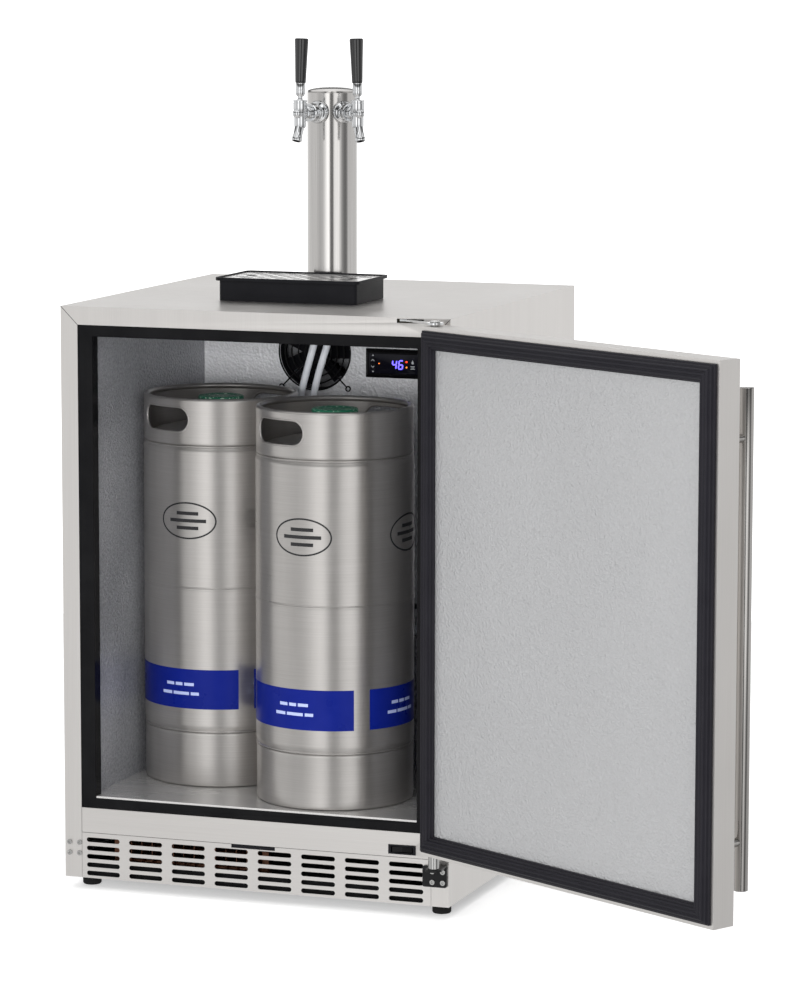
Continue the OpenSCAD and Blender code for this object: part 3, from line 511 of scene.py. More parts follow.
HOSE_RIGHT = [
    (-0.013, 0.055, 0.831), (-0.013, 0.055, 0.814), (-0.016, 0.056, 0.796), (-0.023, 0.057, 0.774),
    (-0.032, 0.058, 0.746), (-0.041, 0.060, 0.712), (-0.048, 0.062, 0.676), (-0.053, 0.065, 0.632),
    (-0.055, 0.067, 0.580), (-0.056, 0.069, 0.525), (-0.056, 0.070, 0.470), (-0.054, 0.071, 0.430),
    (-0.047, 0.072, 0.397), (-0.033, 0.073, 0.372), (-0.012, 0.073, 0.358), (0.016, 0.073, 0.354),
    (0.054, 0.073, 0.3537), (0.094, 0.072, 0.3537), (0.132, 0.070, 0.3537), (0.164, 0.069, 0.354),
    (0.192, 0.069, 0.356), (0.214, 0.069, 0.3592),
]
NUT_FLATS, NUT_LONG, NUT_CHAMFER = 21.4, 14, 1.4
# Where the nut and its far rim start, in millimetres from the end of its tail
NUT_START, NUT_RIM = 9, 22.9
TAIL_GAP = 0.8
CURVE_STEPS = 12


def hose(name, node, route):
    """A smooth curve through the route's points, whose handles follow each point's neighbours."""
    data = bpy.data.curves.new(name, "CURVE")
    data.dimensions = "3D"
    data.bevel_depth = HOSE_RADIUS
    data.bevel_resolution = 5
    data.resolution_u = 8
    data.use_fill_caps = True
    spline = data.splines.new("BEZIER")
    spline.bezier_points.add(len(route) - 1)
    for i, knot in enumerate(spline.bezier_points):
        here = Vector(route[i])
        reach = (Vector(route[min(i + 1, len(route) - 1)]) - Vector(route[max(i - 1, 0)])) / 6
        knot.co = here
        knot.handle_left_type = knot.handle_right_type = "FREE"
        knot.handle_left = here - reach
        knot.handle_right = here + reach
    return piece(new_object(name, data), "cabinet", "beer_hose", node)


def curve_length(route):
    """Length of that same curve."""
    total, last = 0.0, Vector(route[0])
    for i in range(len(route) - 1):
        a, b = Vector(route[i]), Vector(route[i + 1])
        before, after = Vector(route[max(i - 1, 0)]), Vector(route[min(i + 2, len(route) - 1)])
        for k in range(1, CURVE_STEPS + 1):
            t = k / CURVE_STEPS
            here = 0.5 * (2 * a + (b - before) * t + (2 * before - 5 * a + 4 * b - after) * t * t
                          + (3 * a - before - 3 * b + after) * t ** 3)
            total += (here - last).length
            last = here
    return total


def union_nut(name, end):
    """A chamfered hexagon nut on a collared tail, pointing along +X from a hose's end."""
    to_right = Matrix.Rotation(radians(90), 4, "Y")
    place = Matrix.Translation(Vector(end) + Vector((TAIL_GAP * MM, 0, 0))) @ to_right
    at_rim = place @ Matrix.Translation((0, 0, NUT_RIM * MM))
    corners = arc(0, 0, NUT_FLATS / 2 / cos(radians(30)), 30, 330, 5)
    tail = lathe("tail", [(0, 0), (4.4, 0), (4.5, 4), (4.4, 6), (8.8, 6.2), (9, 9), (0, 9)], place)
    nut = plate("nut", corners, NUT_LONG, place @ Matrix.Translation((0, 0, NUT_START * MM)))
    bevelled(nut, NUT_CHAMFER, 2, 50)
    rim = lathe("rim", [(9, 0), (10, 0), (10, 3), (9, 3)], at_rim, closed=True)
    collar = lathe("collar", [(0, 0), (7.4, 0), (7.4, 1.2), (9, 2.9), (9, 0.2), (0, 0.2)], at_rim)
    settled = bpy.context.evaluated_depsgraph_get()
    nut_mesh = bpy.data.meshes.new_from_object(nut.evaluated_get(settled))
    bpy.data.objects.remove(nut)
    whole = joined(name, [tail, new_object("nut_done", nut_mesh), rim, collar])
    return piece(shade(whole, 30), "cabinet", "chrome", "line_nuts")


def make_beer_lines():
    for side, route in (("left", HOSE_LEFT), ("right", HOSE_RIGHT)):
        line = hose(f"beer_line_{side}_hose", f"beer_line_{side}", route)
        nut = union_nut(f"beer_line_{side}_nut", route[-1])
        curve_length(route)


make_beer_lines()


# ---- cabinet

# Node, look, the rounding of its edges in millimetres, and its segments where not 2
CABINET_FINISH = (
    ("outer_wrap", "stainless", 0.35), ("back_panel", "zinc_sheet", 0.3),
    # The base pan's look is painted shade
    ("base_pan", "zinc_painted_shade", 0.3), ("foam_insulation", "insulation", 0.5, 1),
    ("inner_liner", "liner_aluminium", 0.3), ("evaporator_cover", "cover_aluminium", 0.3),
    ("evaporator_coil", "liner_aluminium", 0.2, 1), ("breaker_frame", "bezel_black", 1.2, 3),
    ("floor_plate", "bright_plate", 0.5), ("lower_rail", "stainless_flat", 0.3),
    ("toe_grille", "stainless_flat", 0.3), ("grille_clip", "satin_black", 0.4),
    ("switch_bezel", "satin_black", 0.35), ("switch_rocker", "gloss_black", 0.4),
    ("lower_hinge", "black_steel", 0.4), ("upper_hinge", "chrome", 0.4),
    ("hinge_pins", "screw_steel", 0.5), ("pan_screws", "screw_steel", 0.35),
    ("compressor", "black_steel", 0.8), ("condenser_coil", "condenser_copper", 0.2, 1),
    ("condenser_fan_frame", "satin_black", 0.5), ("condenser_fan_rotor", "satin_black", 0.3, 1),
    ("power_inlet", "satin_black", 0.4), ("evaporator_fan_frame", "satin_black", 0.6),
    ("evaporator_fan_rotor", "satin_black", 0.3, 1), ("line_grommet", "foot_rubber", 0.8),
    ("foot_front_left", "foot_rubber", 0.6), ("foot_front_right", "foot_rubber", 0.6),
    ("foot_rear_left", "foot_rubber", 0.6), ("foot_rear_right", "foot_rubber", 0.6),
)

for finish in CABINET_FINISH:
    refined(*finish)


MITRE_WIDTH, MITRE_LIFT = 0.8, 0.06


def make_mitres():
    """The folded flange's fine joint lines, from the cabinet's upper corners to the trim's."""
    low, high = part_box("outer_wrap")
    trim_low, trim_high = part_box("breaker_frame")
    for name, outer_x, inner_x in (("left", low[0], trim_low[0]), ("right", high[0], trim_high[0])):
        outer = Vector((outer_x, high[2])) / MM
        inner = Vector((inner_x, trim_high[2])) / MM
        across = (inner - outer).normalized().orthogonal() * (MITRE_WIDTH / 2)
        outline = [outer - across, inner - across, inner + across, outer + across]
        place = Matrix.Translation((0, low[1], 0)) @ TO_FRONT
        line = plate(f"flange_mitre_{name}", outline, MITRE_LIFT, place)
        piece(line, "cabinet", "satin_black", look="print_dark")


make_mitres()


# ---- fan guard

GUARD_RINGS = (16, 27, 38, 49, 59)
GUARD_WIRE, GUARD_BAR = 1.2, 1.14
GUARD_EYE = 3.6
# How far the eyes' middles lie in from the guard's corners, and the bars end short of them
EYE_INSET, BAR_SHORT = 5, 2
# How far eyes and bars lie behind the rings
EYE_BACK, BAR_BACK = 0.6, 1


def make_fan_guard():
    """Round wires: rings on two crossed bars, with an eye at each screw."""
    low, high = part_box("evaporator_fan_guard")
    centre = middle("evaporator_fan_guard")
    place = frame_at(*centre)
    reach = (high[0] - low[0]) / MM / 2 - EYE_INSET
    bar_reach = reach - BAR_SHORT
    parts = []
    for radius in GUARD_RINGS:
        ring = [(x, 0, z) for x, z in circle(radius, 72)]
        parts.append(tube("ring", ring, GUARD_WIRE, 12, True, place))
    for sign in (-1, 1):
        bar = [(-bar_reach, BAR_BACK, -sign * bar_reach), (bar_reach, BAR_BACK, sign * bar_reach)]
        parts.append(tube("bar", bar, GUARD_BAR, 12, False, place))
    for eye_x in (-reach, reach):
        for eye_z in (-reach, reach):
            eye = [(eye_x + x, EYE_BACK, eye_z + z) for x, z in circle(GUARD_EYE, 24)]
            parts.append(tube("eye", eye, GUARD_WIRE, 10, True, place))
    guard = joined("evaporator_fan_guard_wires", parts)
    piece(shade(guard, 50), "cabinet", "black_steel", "evaporator_fan_guard")


make_fan_guard()


# ---- controller

SEGMENTS = {"4": "bcfg", "6": "acdefg"}
DIGIT_WIDE, DIGIT_TALL, DIGIT_BAR = 6.4, 13.0, 1.9
DIGIT_SLANT, DIGIT_PITCH = 0.12, 10.6
# The gap at a bar's ends, as a share of its width
BAR_GAP = 0.12
DIGITS_AT = (-8, -7.5)
INK_THICK = 0.12
# How far prints stand off what they lie on, so that the skins stay apart
PRINT_GAP = 0.02
LAMP_THICK = 0.3
# Each lamp's colour, place across and up from the window's middle, radius and look
LAMPS = (
    ("red", 16, 3.8, 1.4, "red_light"),
    ("amber", 16, -4.6, 1.2, "amber_light"),
    ("orange", -29, 0, 0.9, "amber_light"),
)


def segment_bars(width, height, bar):
    """Outlines of the seven bars of a digit, by letter."""
    half, gap = height / 2, bar * BAR_GAP

    def upright(x, low, high):
        return [(x, low + gap), (x + bar / 2, low + bar / 2), (x + bar / 2, high - bar / 2),
                (x, high - gap), (x - bar / 2, high - bar / 2), (x - bar / 2, low + bar / 2)]

    def level(y):
        return [(across, up) for up, across in upright(y, 0, width)]

    return {"a": level(height), "g": level(half), "d": level(0),
            "f": upright(0, half, height), "b": upright(width, half, height),
            "e": upright(0, 0, half), "c": upright(width, 0, half)}


def oblong(width, height):
    x, y = width / 2, height / 2
    return [(-x, -y), (x, -y), (x, y), (-x, y)]


def make_controller():
    """The housing, its window with lit digits, small lights and marks, and the two buttons."""
    refined("controller_housing", "gloss_black", 0.5, 3)
    refined("controller_lens", "dark_lens", 0.2)
    low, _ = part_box("controller_lens")
    centre = middle("controller_lens")
    front = low[1] / MM

    def on_lens(x, z):
        return frame_at(centre.x + x, front - PRINT_GAP, centre.z + z) @ TO_FRONT

    bars = []
    for i, digit in enumerate("46"):
        outlines = segment_bars(DIGIT_WIDE, DIGIT_TALL, DIGIT_BAR)
        place = on_lens(DIGITS_AT[0] + i * DIGIT_PITCH, DIGITS_AT[1])
        for letter in SEGMENTS[digit]:
            outline = [(x + DIGIT_SLANT * y, y) for x, y in outlines[letter]]
            bars.append(plate("bar", outline, INK_THICK, place))
    piece(joined("display_digits", bars), "cabinet", "display_light", look="digits")
    for colour, x, z, radius, look in LAMPS:
        disc = plate(f"display_{colour}_light", circle(radius, 24), LAMP_THICK, on_lens(x, z))
        piece(bevelled(disc, 0.1), "cabinet", "display_light", look=look)
    drop = [(0, 4.0)] + arc(0, -0.6, 1.9, 20, -200, 11)
    triangle = [(-1.6, -1.2), (1.6, -1.2), (0, 1.6)]
    for name, outline, x, z in (
            ("drop_symbol", drop, 26, 3), ("bar_symbol_1", oblong(7, 1), 26, -3),
            ("bar_symbol_2", oblong(5, 1), 26, -5), ("bar_symbol_3", oblong(7, 1), 26, -7),
            ("upper_mark", triangle, -39, 12.6), ("lower_mark", oblong(2.8, 2), -39, -12.6)):
        mark = plate(f"display_{name}", outline, INK_THICK, on_lens(x, z))
        piece(mark, "cabinet", "display_light", look="mark")
    for node, sign in (("button_up", 1), ("button_down", -1)):
        refined(node, "satin_black", 0.4)
        face = middle(node)
        front_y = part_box(node)[0][1] / MM
        chevron = [(-2.4, -1.3 * sign), (0, 1.1 * sign), (2.4, -1.3 * sign), (2.4, -0.1 * sign),
                   (0, 2.3 * sign), (-2.4, -0.1 * sign)]
        mark = plate(node + "_chevron", chevron, 0.1, frame_at(face.x, front_y, face.z) @ TO_FRONT)
        piece(mark, NODES[node]["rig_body"], "display_light", look="mark")


make_controller()


# ---- kegs

BAND_LOW, BAND_HIGH = 119, 179
BAND_GAP = (34, 46)
BAND_THICK = 0.25
# The marks on the band: the middles of their four groups in degrees, and each row's height with the
# spans of its dashes round the keg
BAND_GROUPS = (-10, 78, 168, 258)
BAND_ROWS = (
    (156, ((-26, -12), (-9, 3), (6, 22))),
    (142, ((-34, -16), (-13, 14), (17, 30))),
)
DASH_TALL = 4.6
EMBLEM_HEIGHT = 404
EMBLEM_ANGLES = (-4, 86, 176, 266)
EMBLEM_INNER, EMBLEM_OUTER = (43.5, 25.5), (46, 28)
EMBLEM_STEPS = 72
# Each bar of the emblem as its height over the middle and half its length
EMBLEM_BARS = ((11, 18), (0, 30), (-11, 18))
EMBLEM_BAR_TALL = 5.2
KEG_TURN = -27
KEG_RADIUS = 117.5
DASH_RADIUS = 117.8
RING_RADIUS = 116.5
FOOT_SEAM, TOP_SEAM = 82, 518
SLOT_HEIGHT, SLOT_LONG, SLOT_TALL = 555, 98, 38
BEAD_RADIUS, BEAD_INSET = 2.0, 1.3
CUTTER_START, CUTTER_LONG = 100, 30
ROLL_RADIUS = 4.2
SHELL_SIDES = 192


def barrel_outline():
    """The pressed barrel from the middle of its base to the top of its neck.

    Each straight side has a second point near each end, which keeps the shading flat between them.
    """
    low_bead = arc(115.4, 84.5, 1.6, -90, 80, 6)
    top_bead = arc(115.4, 515.2, 1.6, -80, 90, 6)
    return (
        [(0, 30), (60, 31.5), (88, 36), (104, 46), (112, 60), (114.6, 72), (114.6, 81)]
        + low_bead
        + [(115.9, 87.2), (116.9, 89.5), (KEG_RADIUS, 93), (KEG_RADIUS, 95)]
        + [(KEG_RADIUS, 297), (KEG_RADIUS, 298.6), (117.9, 300.4)]
        + arc(117.0, 302.5, 1.25, -60, 60, 5)
        + [(117.9, 304.6), (KEG_RADIUS, 306.4), (KEG_RADIUS, 308)]
        + [(KEG_RADIUS, 505), (KEG_RADIUS, 507), (116.9, 510.4), (115.9, 512.6)]
        + top_bead
        + [(114.6, 518), (113.8, 521), (109, 526.5), (98, 531), (70, 537.5), (40, 541.5)]
        + [(33, 543.5), (31.5, 546), (31, 552), (31, 568), (30, 570), (27.6, 570), (27, 568)]
        + [(27, 556), (0, 555)]
    )


def ring_outline(seam, rim):
    """A rolled ring: its seam edge sits on the barrel and its rim is rolled inwards."""
    up = 1 if rim > seam else -1
    roll_z = rim - ROLL_RADIUS * up
    roll = arc(RING_RADIUS - ROLL_RADIUS, roll_z, ROLL_RADIUS, 0, 250 * up, 20)
    inner = [(RING_RADIUS - 2.6, roll_z - 4.6 * up), (RING_RADIUS - 2.6, seam + 3 * up),
             (RING_RADIUS - 2.2, seam)]
    outer = [(RING_RADIUS - 0.2, seam), (RING_RADIUS + 0.3, seam + 1.2 * up),
             (RING_RADIUS, seam + 4 * up), (RING_RADIUS, roll_z - 3 * up)]
    return outer + roll + inner


def slot_outline():
    """A slot with round ends as (across, up) points."""
    half = (SLOT_LONG - SLOT_TALL) / 2
    return arc(half, 0, SLOT_TALL / 2, -90, 90, 12) + arc(-half, 0, SLOT_TALL / 2, 90, 270, 12)


def dense(points, step):
    """The closed outline with no gap longer than the step."""
    out = []
    for a, b in zip(points, points[1:] + points[:1]):
        count = max(1, ceil(dist(a, b) / step))
        out += [(a[0] + (b[0] - a[0]) * i / count, a[1] + (b[1] - a[1]) * i / count)
                for i in range(count)]
    return out


def round_keg(x, z, radius):
    """A point on a keg's side: x is measured round the keg from its front, at -Y."""
    angle = x / radius
    return (radius * sin(angle), -radius * cos(angle), z)


def cut_hand_holes(ring, place):
    """Cuts two slots through the ring's wall, from inside it outwards."""
    for back in (0, 180):
        stand = place @ frame_at(0, 0, 0, back) @ frame_at(0, -CUTTER_START, SLOT_HEIGHT) @ TO_FRONT
        cutter = plate("cutter", slot_outline(), CUTTER_LONG, stand)
        cut = ring.modifiers.new("hand_hole", "BOOLEAN")
        cut.operation, cut.solver, cut.object = "DIFFERENCE", "EXACT", cutter
        bpy.context.view_layer.update()
        settled = bpy.context.evaluated_depsgraph_get()
        mesh = bpy.data.meshes.new_from_object(ring.evaluated_get(settled))
        ring.modifiers.clear()
        ring.data = mesh
        bpy.data.objects.remove(cutter)
    return shade(ring)


def wrapped_patch(name, start, end, low, high, radius, lift, place, step=3.0):
    """A thin skin on the keg's side, between two angles in degrees and between two heights."""
    count = max(2, ceil(abs(end - start) / step))
    points, faces = [], []
    for i in range(count + 1):
        a = radians(start + (end - start) * i / count)
        for r, z in ((radius, low), (radius + lift, low), (radius + lift, high), (radius, high)):
            points.append((r * sin(a), -r * cos(a), z))
    for i in range(count):
        for k in range(4):
            n = (k + 1) % 4
            faces.append([i * 4 + k, i * 4 + n, (i + 1) * 4 + n, (i + 1) * 4 + k])
    faces += [[0, 1, 2, 3], [count * 4 + k for k in (3, 2, 1, 0)]]
    return shade(mesh_object(name, points, faces, place), 40)


def emblem_ink(outline, angle, place):
    """Ink on the keg's side, from (across, up) points about the emblem's middle."""
    radius = KEG_RADIUS + PRINT_GAP
    outer = radius + INK_THICK
    shift = radians(angle) * radius
    points = [round_keg(x + shift, z + EMBLEM_HEIGHT, radius) for x, z in outline]
    points += [round_keg((x + shift) * outer / radius, z + EMBLEM_HEIGHT, outer)
               for x, z in outline]
    return mesh_object("ink", points, slab_faces(len(outline)), place)


def weld(obj):
    """Joins touching parts into one skin, without the walls between them."""
    with editing(obj.data) as bm:
        bmesh.ops.remove_doubles(bm, verts=bm.verts, dist=SAME_POINT)
        inside = [face for face in bm.faces if len(face.verts) == 4
                  and sum(len(edge.link_faces) > 2 for edge in face.edges) == 4]
        bmesh.ops.delete(bm, geom=inside, context="FACES_ONLY")
    return obj


def make_band(prefix, body, place):
    """The blue band with its gap, and rows of plain dashes on it."""
    first, last = BAND_GAP[1], BAND_GAP[0] + 360
    radius = KEG_RADIUS + PRINT_GAP
    band = wrapped_patch(prefix + "_band", first, last, BAND_LOW, BAND_HIGH, radius, BAND_THICK,
                         place)
    piece(band, body, "band_print")
    bars = []
    for group in BAND_GROUPS:
        for height, spans in BAND_ROWS:
            low, high = height - DASH_TALL / 2, height + DASH_TALL / 2
            for span in spans:
                ends = [group + degrees(end / KEG_RADIUS) for end in span]
                bar = wrapped_patch("bar", *ends, low, high, DASH_RADIUS, INK_THICK, place, 2.0)
                bars.append(bar)
    piece(joined(prefix + "_band_marks", bars), body, "band_print", look="print_pale")


def make_emblem(prefix, body, place):
    """A plain oval ring with three bars in it, four times round the keg."""
    quads = []
    for k in range(EMBLEM_STEPS):
        turns = [2 * pi * i / EMBLEM_STEPS for i in (k, k + 1)]
        inner, outer = ([(across * cos(t), up * sin(t)) for t in turns]
                        for across, up in (EMBLEM_INNER, EMBLEM_OUTER))
        quads.append([inner[0], outer[0], outer[1], inner[1]])
    for up, half in EMBLEM_BARS:
        low, high = up - EMBLEM_BAR_TALL / 2, up + EMBLEM_BAR_TALL / 2
        count = 2 * round(half / 3)
        for k in range(count):
            x0, x1 = (-half + 2 * half * i / count for i in (k, k + 1))
            quads.append([(x0, low), (x1, low), (x1, high), (x0, high)])
    parts = [emblem_ink(quad, angle, place) for angle in EMBLEM_ANGLES for quad in quads]
    piece(weld(joined(prefix + "_emblem", parts)), body, "band_print", look="print_dark")


def make_keg(prefix, body):
    """A slim keg: barrel, foot ring, top ring with two hand holes, cap and prints."""
    shell = prefix + "_shell"
    low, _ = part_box(shell)
    centre = middle(shell)
    place = frame_at(centre.x, centre.y, low[2] / MM, KEG_TURN)
    top = (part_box(shell)[1][2] - low[2]) / MM
    barrel = lathe(prefix + "_barrel", barrel_outline(), place, SHELL_SIDES)
    foot = lathe(prefix + "_foot_ring", ring_outline(FOOT_SEAM, 0), place, SHELL_SIDES, True)
    ring = lathe(prefix + "_top_ring", ring_outline(TOP_SEAM, top), place, SHELL_SIDES, True)
    for part in (barrel, foot, cut_hand_holes(ring, place)):
        piece(part, body, "keg_steel", shell)
    path = [round_keg(x, z + SLOT_HEIGHT, RING_RADIUS - BEAD_INSET)
            for x, z in dense(slot_outline(), 3)]
    for name, back in (("near", 0), ("far", 180)):
        turned = place @ frame_at(0, 0, 0, back)
        bead = tube(f"{prefix}_hand_hole_edge_{name}", path, BEAD_RADIUS, 10, True, turned)
        piece(bead, body, "keg_steel", shell)
    cap = [(0, 571.2), (31, 571), (31.5, 562.4), (36.2, 562), (37, 563), (37, 565.2), (36.2, 566),
           (34.9, 566.4), (34.5, 568), (34.5, 577)]
    cap += arc(31.5, 578, 3, 0, 80, 5) + [(24, 580.6), (23, 579.8), (0, 579.6)]
    piece(lathe(prefix + "_dust_cap", cap, place), body, "green_plastic", prefix + "_cap")
    print_place = frame_at(centre.x, centre.y, low[2] / MM)
    make_band(prefix, body, print_place)
    make_emblem(prefix, body, print_place)


make_keg("keg_front", "front_keg")
make_keg("keg_rear", "rear_keg")


# ---- draft tower

SPOUT_TILT = 22
LEVER_LEAN = 3
# How far the lever's ball stands over the faucet's barrel, and how far the spout starts under it
BALL_HEIGHT, SPOUT_DROP = 16, 16


def tap_place(side):
    """The faucet's own frame: its origin on the tower's axis, and -Y towards the faucet."""
    tower = middle("tower_column")
    ball = Vector(JOINTS[side + "_tap"]["pos_m"]) / MM
    out = Vector((ball.x - tower.x, ball.y - tower.y))
    turn = degrees(atan2(out.x, -out.y))
    return frame_at(tower.x, tower.y, ball.z - BALL_HEIGHT, turn), out.length


def make_tower():
    low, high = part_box("tower_column")
    axis = middle("tower_column")
    base, top = low[2] / MM, high[2] / MM
    place = frame_at(axis.x, axis.y, 0)
    outline = [(36.5, base), (53.2, base), (54, base + 0.8), (54, base + 4.6), (52.8, base + 5.9),
               (40.5, base + 6), (39.2, base + 6.6), (38.2, base + 8.2), (38, base + 10),
               (38, top - 0.6), (37.6, top - 0.1), (36.5, top - 0.1)]
    piece(lathe("tower_tube", outline, place, 128, True), "cabinet", "tower_steel", "tower_column")
    dome = [(0, top - 11), (33.9, top - 11), (34.4, top - 0.2), (37.6, top), (38, top + 0.6)]
    dome += [(38 * x, top + 0.6 + 7.3 * y) for x, y in arc(0, 0, 1, 10, 82, 9)] + [(0, top + 7.9)]
    piece(lathe("tower_dome", dome, place, 128), "cabinet", "tower_steel", "tower_cap")


def along_barrel(place, outline, name):
    """A part turned about the faucet's barrel, with heights measured from the tower's axis."""
    return lathe(name, outline, place @ TO_FRONT, 64)


def make_shank(side, place):
    """The nut that holds the tap to the tower, with its collar."""
    flange = [(0, 34), (11, 34), (15.5, 37.2), (17, 38.5), (17, 43.4), (16, 45.4), (14.2, 46.2),
              (13, 47.2), (11.6, 47.6), (11, 49.4), (11, 53.2), (12.4, 53.4), (14, 54.6), (14, 56),
              (13.5, 56.4), (13.5, 58.2), (14, 58.6), (14, 66.6), (12.8, 68), (0, 68)]
    shank = along_barrel(place, flange, f"shank_{side}_collar")
    piece(shank, "cabinet", "chrome", "shank_" + side)


def make_faucet(side, place, reach):
    """Barrel, upright body and leaning spout, with a black sleeve of painted shade in the spout."""
    barrel = [(0, 68.1), (8.9, 68.1), (9.5, 68.8), (9.5, 71.4), (8.6, 72.4), (8, 75), (8, 80),
              (9, 84), (9.3, reach + 3), (8.6, reach + 5)] + arc(0, reach + 7, 7.4, 0, 90, 8)
    barrel[-1] = (0, reach + 14.4)
    body_place = place @ frame_at(0, -reach, 0)
    body = [(0, -22), (6.8, -22), (8.6, -20.6), (9.2, -18), (9.2, -5), (8.7, -2), (8.9, 2),
            (9.6, 4.6), (10.2, 6), (10.4, 7), (10.4, 15.2), (9.8, 15.8), (9.8, 17), (10.4, 17.6),
            (10.4, 19.2), (9.8, 20), (8.4, 20), (7.8, 19.4), (7.8, 8), (0, 7)]
    tilt = Matrix.Rotation(radians(-SPOUT_TILT), 4, "X")
    spout_place = body_place @ frame_at(0, 0, -SPOUT_DROP) @ tilt
    spout = [(7.9, 0), (7.4, -6), (7, -14), (7, -20.5), (7.7, -21.6), (7.8, -22.4), (7.8, -26),
             (7.2, -27), (6.1, -27), (5.8, -26.6), (5.8, 0)]
    parts = [
        along_barrel(place, barrel, "barrel"),
        lathe("body", body, body_place, 72),
        lathe("spout", spout, spout_place, 64, True),
    ]
    whole = shade(joined(f"faucet_{side}_body", parts))
    piece(whole, "cabinet", "chrome", "faucet_" + side)
    # Painted shade: a black sleeve lines the spout's bore, standing in for the shade inside the
    # hole
    bore = [(0, -1), (5.7, -1), (5.7, -26.4), (5.3, -26.4), (5.3, -1.6), (0, -1.6)]
    piece(lathe(f"faucet_{side}_mouth_painted_shade", bore, spout_place, 48), "cabinet", "satin_black")


def make_lever(side, place, reach):
    """The ball, collar and stem that turn in the faucet, and the handle on top."""
    body = side + "_lever"
    lean = Matrix.Rotation(radians(-LEVER_LEAN), 4, "X")
    here = place @ frame_at(0, -reach, BALL_HEIGHT) @ lean
    lever = arc(0, 0, 6.5, -90, 52, 12)
    lever[0] = (0, -6.5)
    lever += [(3.8, 6), (3.8, 9.2), (5.2, 9.5), (6.6, 12), (7.3, 13.5), (7.3, 17.4), (6.9, 17.9),
              (6.9, 18.9), (7.3, 19.4), (7.3, 27.6), (6.8, 29), (0, 29)]
    piece(lathe(f"lever_{side}_stem", lever, here, 64), body, "chrome", "lever_" + side)
    grip = [(0, 29.1), (7.2, 29.1), (7.9, 30), (8.2, 33), (8.6, 45), (9.3, 66), (10.1, 86),
            (10.4, 91.6)] + arc(8.0, 93.4, 2.4, -10, 90, 6) + [(0, 96)]
    handle = lathe(f"tap_handle_{side}_grip", grip, here, 64)
    piece(handle, body, "gloss_black", "tap_handle_" + side, look="grip_black")


make_tower()
for tap_side in ("left", "right"):
    tap_frame, tap_reach = tap_place(tap_side)
    make_shank(tap_side, tap_frame)
    make_faucet(tap_side, tap_frame, tap_reach)
    make_lever(tap_side, tap_frame, tap_reach)
refined("drip_tray", "satin_black", 1.0, 3)


def make_grate():
    """A thin bright plate whose punched edges get painted shade, darker than its face."""
    grate = refined("drip_grate", "grate_plate", 0.12)
    grate.data.materials.append(LOOKS["punched_edge_painted_shade"])
    # The steep slot walls get the painted shade look, standing in for the shade inside the punched
    # slots
    for face in grate.data.polygons:
        if abs(face.normal.z) < 0.5:
            face.material_index = 1


make_grate()


# ---- door

# Turns what is drawn on the shut door to where the door stands open
PIN = Vector(JOINTS["door_hinge"]["pos_m"])
SWING = Matrix.Translation(PIN) @ Matrix.Rotation(DOOR_OPEN, 4, "Z") @ Matrix.Translation(-PIN)


def shut_box(node):
    """A door node's lowest and highest corners with the door shut, in millimetres."""
    back = SWING.inverted()
    corners = zip(*(back @ v.co for v in NODES[node].data.vertices))
    low, high = zip(*((min(values), max(values)) for values in corners))
    return Vector(low) / MM, Vector(high) / MM


def make_gasket():
    """A ribbed magnetic seal, swept round the door with mitred corners."""
    low, high = shut_box("door_gasket")
    top = high.y - low.y
    # The seal's section, as (inwards from the door's edge, height over the inner panel)
    ribs = [(0, 0), (0.1, 3.2), (0.9, 3.9), (2.6, 4.1), (2.9, 7.0), (3.8, 7.8), (6.4, 8.0),
            (6.9, 10.2), (8.0, top), (9.4, top), (10.4, 10.1), (11.6, 10.1), (12.8, top),
            (15.2, top), (16.4, 10.1), (17.6, 10.1), (18.8, top), (20.2, top), (21.2, 10.2),
            (21.6, 8.0), (23.9, 7.8), (24.5, 7.0), (24.6, 4.2), (26.0, 3.9), (26.6, 3.0), (26.6, 0)]
    points, faces = [], []
    for inwards, height in ribs:
        y = low.y + height
        points += [(low.x + inwards, y, low.z + inwards), (high.x - inwards, y, low.z + inwards),
                   (high.x - inwards, y, high.z - inwards), (low.x + inwards, y, high.z - inwards)]
    for i in range(len(ribs)):
        j = (i + 1) % len(ribs)
        faces += [[i * 4 + k, i * 4 + (k + 1) % 4, j * 4 + (k + 1) % 4, j * 4 + k]
                  for k in range(4)]
    seal = mesh_object("door_seal", points, faces, SWING)
    piece(bevelled(shade(seal, 25), 0.25, 2, 25), "door", "seal_rubber", "door_gasket")


BAR_RADIUS = 10
POST_PITCH = 549


def make_handle():
    """A round bar with softened ends, on two posts with small foot collars."""
    low, high = shut_box("door_handle")
    r = BAR_RADIUS
    x, y = low.x + r, low.y + r
    length = high.z - low.z
    place = SWING @ frame_at(x, y, low.z)
    bar = [(0, 0), (r - 1.2, 0), (r - 0.35, 0.35), (r, 1.2), (r, length - 1.2),
           (r - 0.35, length - 0.35), (r - 1.2, length), (0, length)]
    parts = [lathe("bar", bar, place)]
    post = [(0, 4), (6, 4), (6, 44.6), (6.6, 45.6), (8.4, 46), (9, 46.6), (9, high.y - y - 0.6),
            (8.4, high.y - y), (0, high.y - y)]
    for side in (-1, 1):
        at_post = place @ frame_at(0, 0, length / 2 + side * POST_PITCH / 2) @ TO_BACK
        parts.append(lathe("post", post, at_post, 64))
    # The handle's look is tower_steel darkened as painted shade
    piece(shade(joined("door_handle_bar", parts)), "door", "tower_steel", "door_handle",
          look="handle_steel_painted_shade")


def make_door():
    refined("door_skin", "stainless", 0.6, 3)
    refined("door_foam", "insulation", 0.5, 1)
    refined("door_liner", "embossed_aluminium", 0.3)
    refined("hinge_bushes", "satin_black", 0.4)
    make_gasket()
    make_handle()


make_door()


# ---- floor and light

FLOOR_RADIUS, FLOOR_LEVEL = 2400, -0.5
FLOOR_GLOW = 0.42


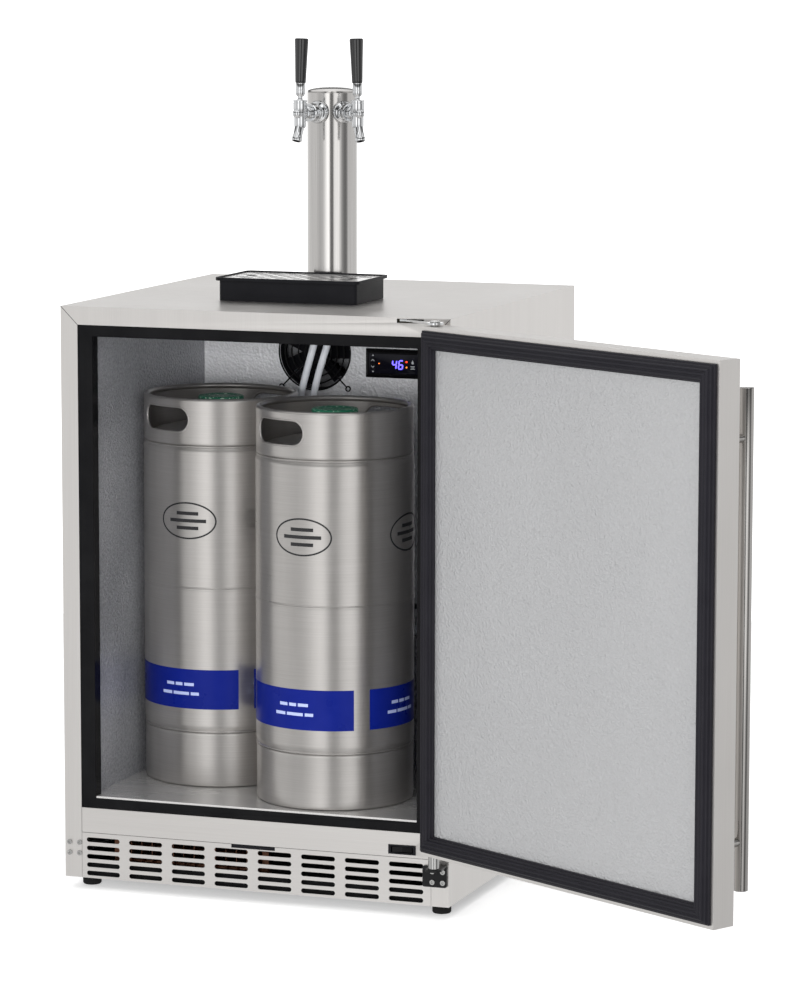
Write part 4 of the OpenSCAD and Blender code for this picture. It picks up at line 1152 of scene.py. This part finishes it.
def plain_floor():
    """A round pale floor that glows a little, as a lit white sweep does."""
    rim = [(x, y, FLOOR_LEVEL) for x, y in circle(FLOOR_RADIUS, 128)]
    floor = mesh_object("floor", rim, [list(range(len(rim)))])
    g = Graph("pale_floor")
    g.set(Emission_Color=(1, 1, 1, 1), Emission_Strength=FLOOR_GLOW)
    fine = g.noise(30)
    g.finish(g.colours(fine, (0.78, 0.78, 0.78), (0.82, 0.82, 0.82)), g.spread(fine, 0.6, 0.7))
    paint(floor, "pale_floor")
    floor.visible_glossy = False


def area_light(name, place, target, size, power):
    data = bpy.data.lights.new(name, "AREA")
    data.shape = "RECTANGLE"
    data.size, data.size_y = size
    data.energy = power
    light = new_object(name, data)
    light.location = place
    light.visible_glossy = False
    light.rotation_euler = (Vector(target) - Vector(place)).to_track_quat("-Z", "Y").to_euler()


STUDIO_STRENGTH = 1.7
# How bright the studio is by direction: degrees from the front, -Y, towards +X, and a share
STUDIO_BANDS = (
    (-180, 0.62), (-160, 0.72), (-130, 0.58), (-86, 0.45), (-60, 0.50), (-38, 0.35), (-25, 0.41),
    (-18, 0.50), (-8, 0.78), (1, 1.0), (7, 0.90), (12, 0.13), (24, 0.11), (29, 0.68), (50, 0.84),
    (59, 0.46), (70, 0.20), (80, 0.12), (90, 0.14), (99, 0.44), (165, 0.46), (180, 0.62),
)
# The same by height: the upward part of the direction, and a share. The dark belt is what round
# fittings mirror
STUDIO_BELTS = (
    (-1.0, 0.6), (-0.30, 0.7), (-0.18, 1.0), (0.16, 1.0), (0.25, 0.16), (0.42, 0.16), (0.52, 1.0),
    (1.0, 1.0),
)
# Each light's name, place, target, width and height in metres, and power in watts
LIGHTS = (
    ("key", (2.9, -3.9, 2.6), (0.1, -0.2, 0.5), (2.0, 2.0), 70),
    ("fill", (-3.2, -3.2, 2.6), (0.1, -0.2, 0.5), (2.0, 2.4), 35),
    ("over", (0.3, 0.2, 3.4), (0.1, 0.0, 0.8), (2.4, 2.4), 45),
    ("low", (0.9, -3.6, 0.9), (-0.05, 0.1, 0.55), (0.9, 0.9), 85),
)


def soft_world():
    """A room whose bright and dark uprights give round metal its stripes.

    The camera itself sees plain white behind the object.
    """
    world = bpy.data.worlds.new("studio")
    bpy.context.scene.world = world
    g = Tree(world)
    ground = g.tree.nodes["Background"]
    ground.inputs["Strength"].default_value = STUDIO_STRENGTH

    def ramp(share, stops):
        node = g.add("ShaderNodeValToRGB", {"Fac": share})
        while len(node.color_ramp.elements) < len(stops):
            node.color_ramp.elements.new(0.5)
        for element, (place, grey) in zip(node.color_ramp.elements, stops):
            element.position = place
            element.color = (grey, grey, grey, 1)
        return node.outputs["Color"]

    direction = g.add("ShaderNodeTexCoord").outputs["Generated"]
    way = g.add("ShaderNodeSeparateXYZ", {0: direction}).outputs
    angle = g.maths("ARCTAN2", way["X"], g.maths("MULTIPLY", way["Y"], -1.0))
    bands = ramp(g.maths("MULTIPLY_ADD", angle, 1 / (2 * pi), 0.5),
                 [(turn / 360 + 0.5, grey) for turn, grey in STUDIO_BANDS])
    belts = ramp(g.maths("MULTIPLY_ADD", way["Z"], 0.5, 0.5),
                 [(up / 2 + 0.5, grey) for up, grey in STUDIO_BELTS])
    by_camera = g.add("ShaderNodeLightPath").outputs["Is Camera Ray"]
    shown = g.maths("MAXIMUM", g.maths("MULTIPLY", bands, belts), by_camera)
    g.tree.links.new(shown, ground.inputs["Color"])


bpy.context.scene.view_settings.view_transform = "Standard"
plain_floor()
soft_world()
for studio_light in LIGHTS:
    area_light(*studio_light)
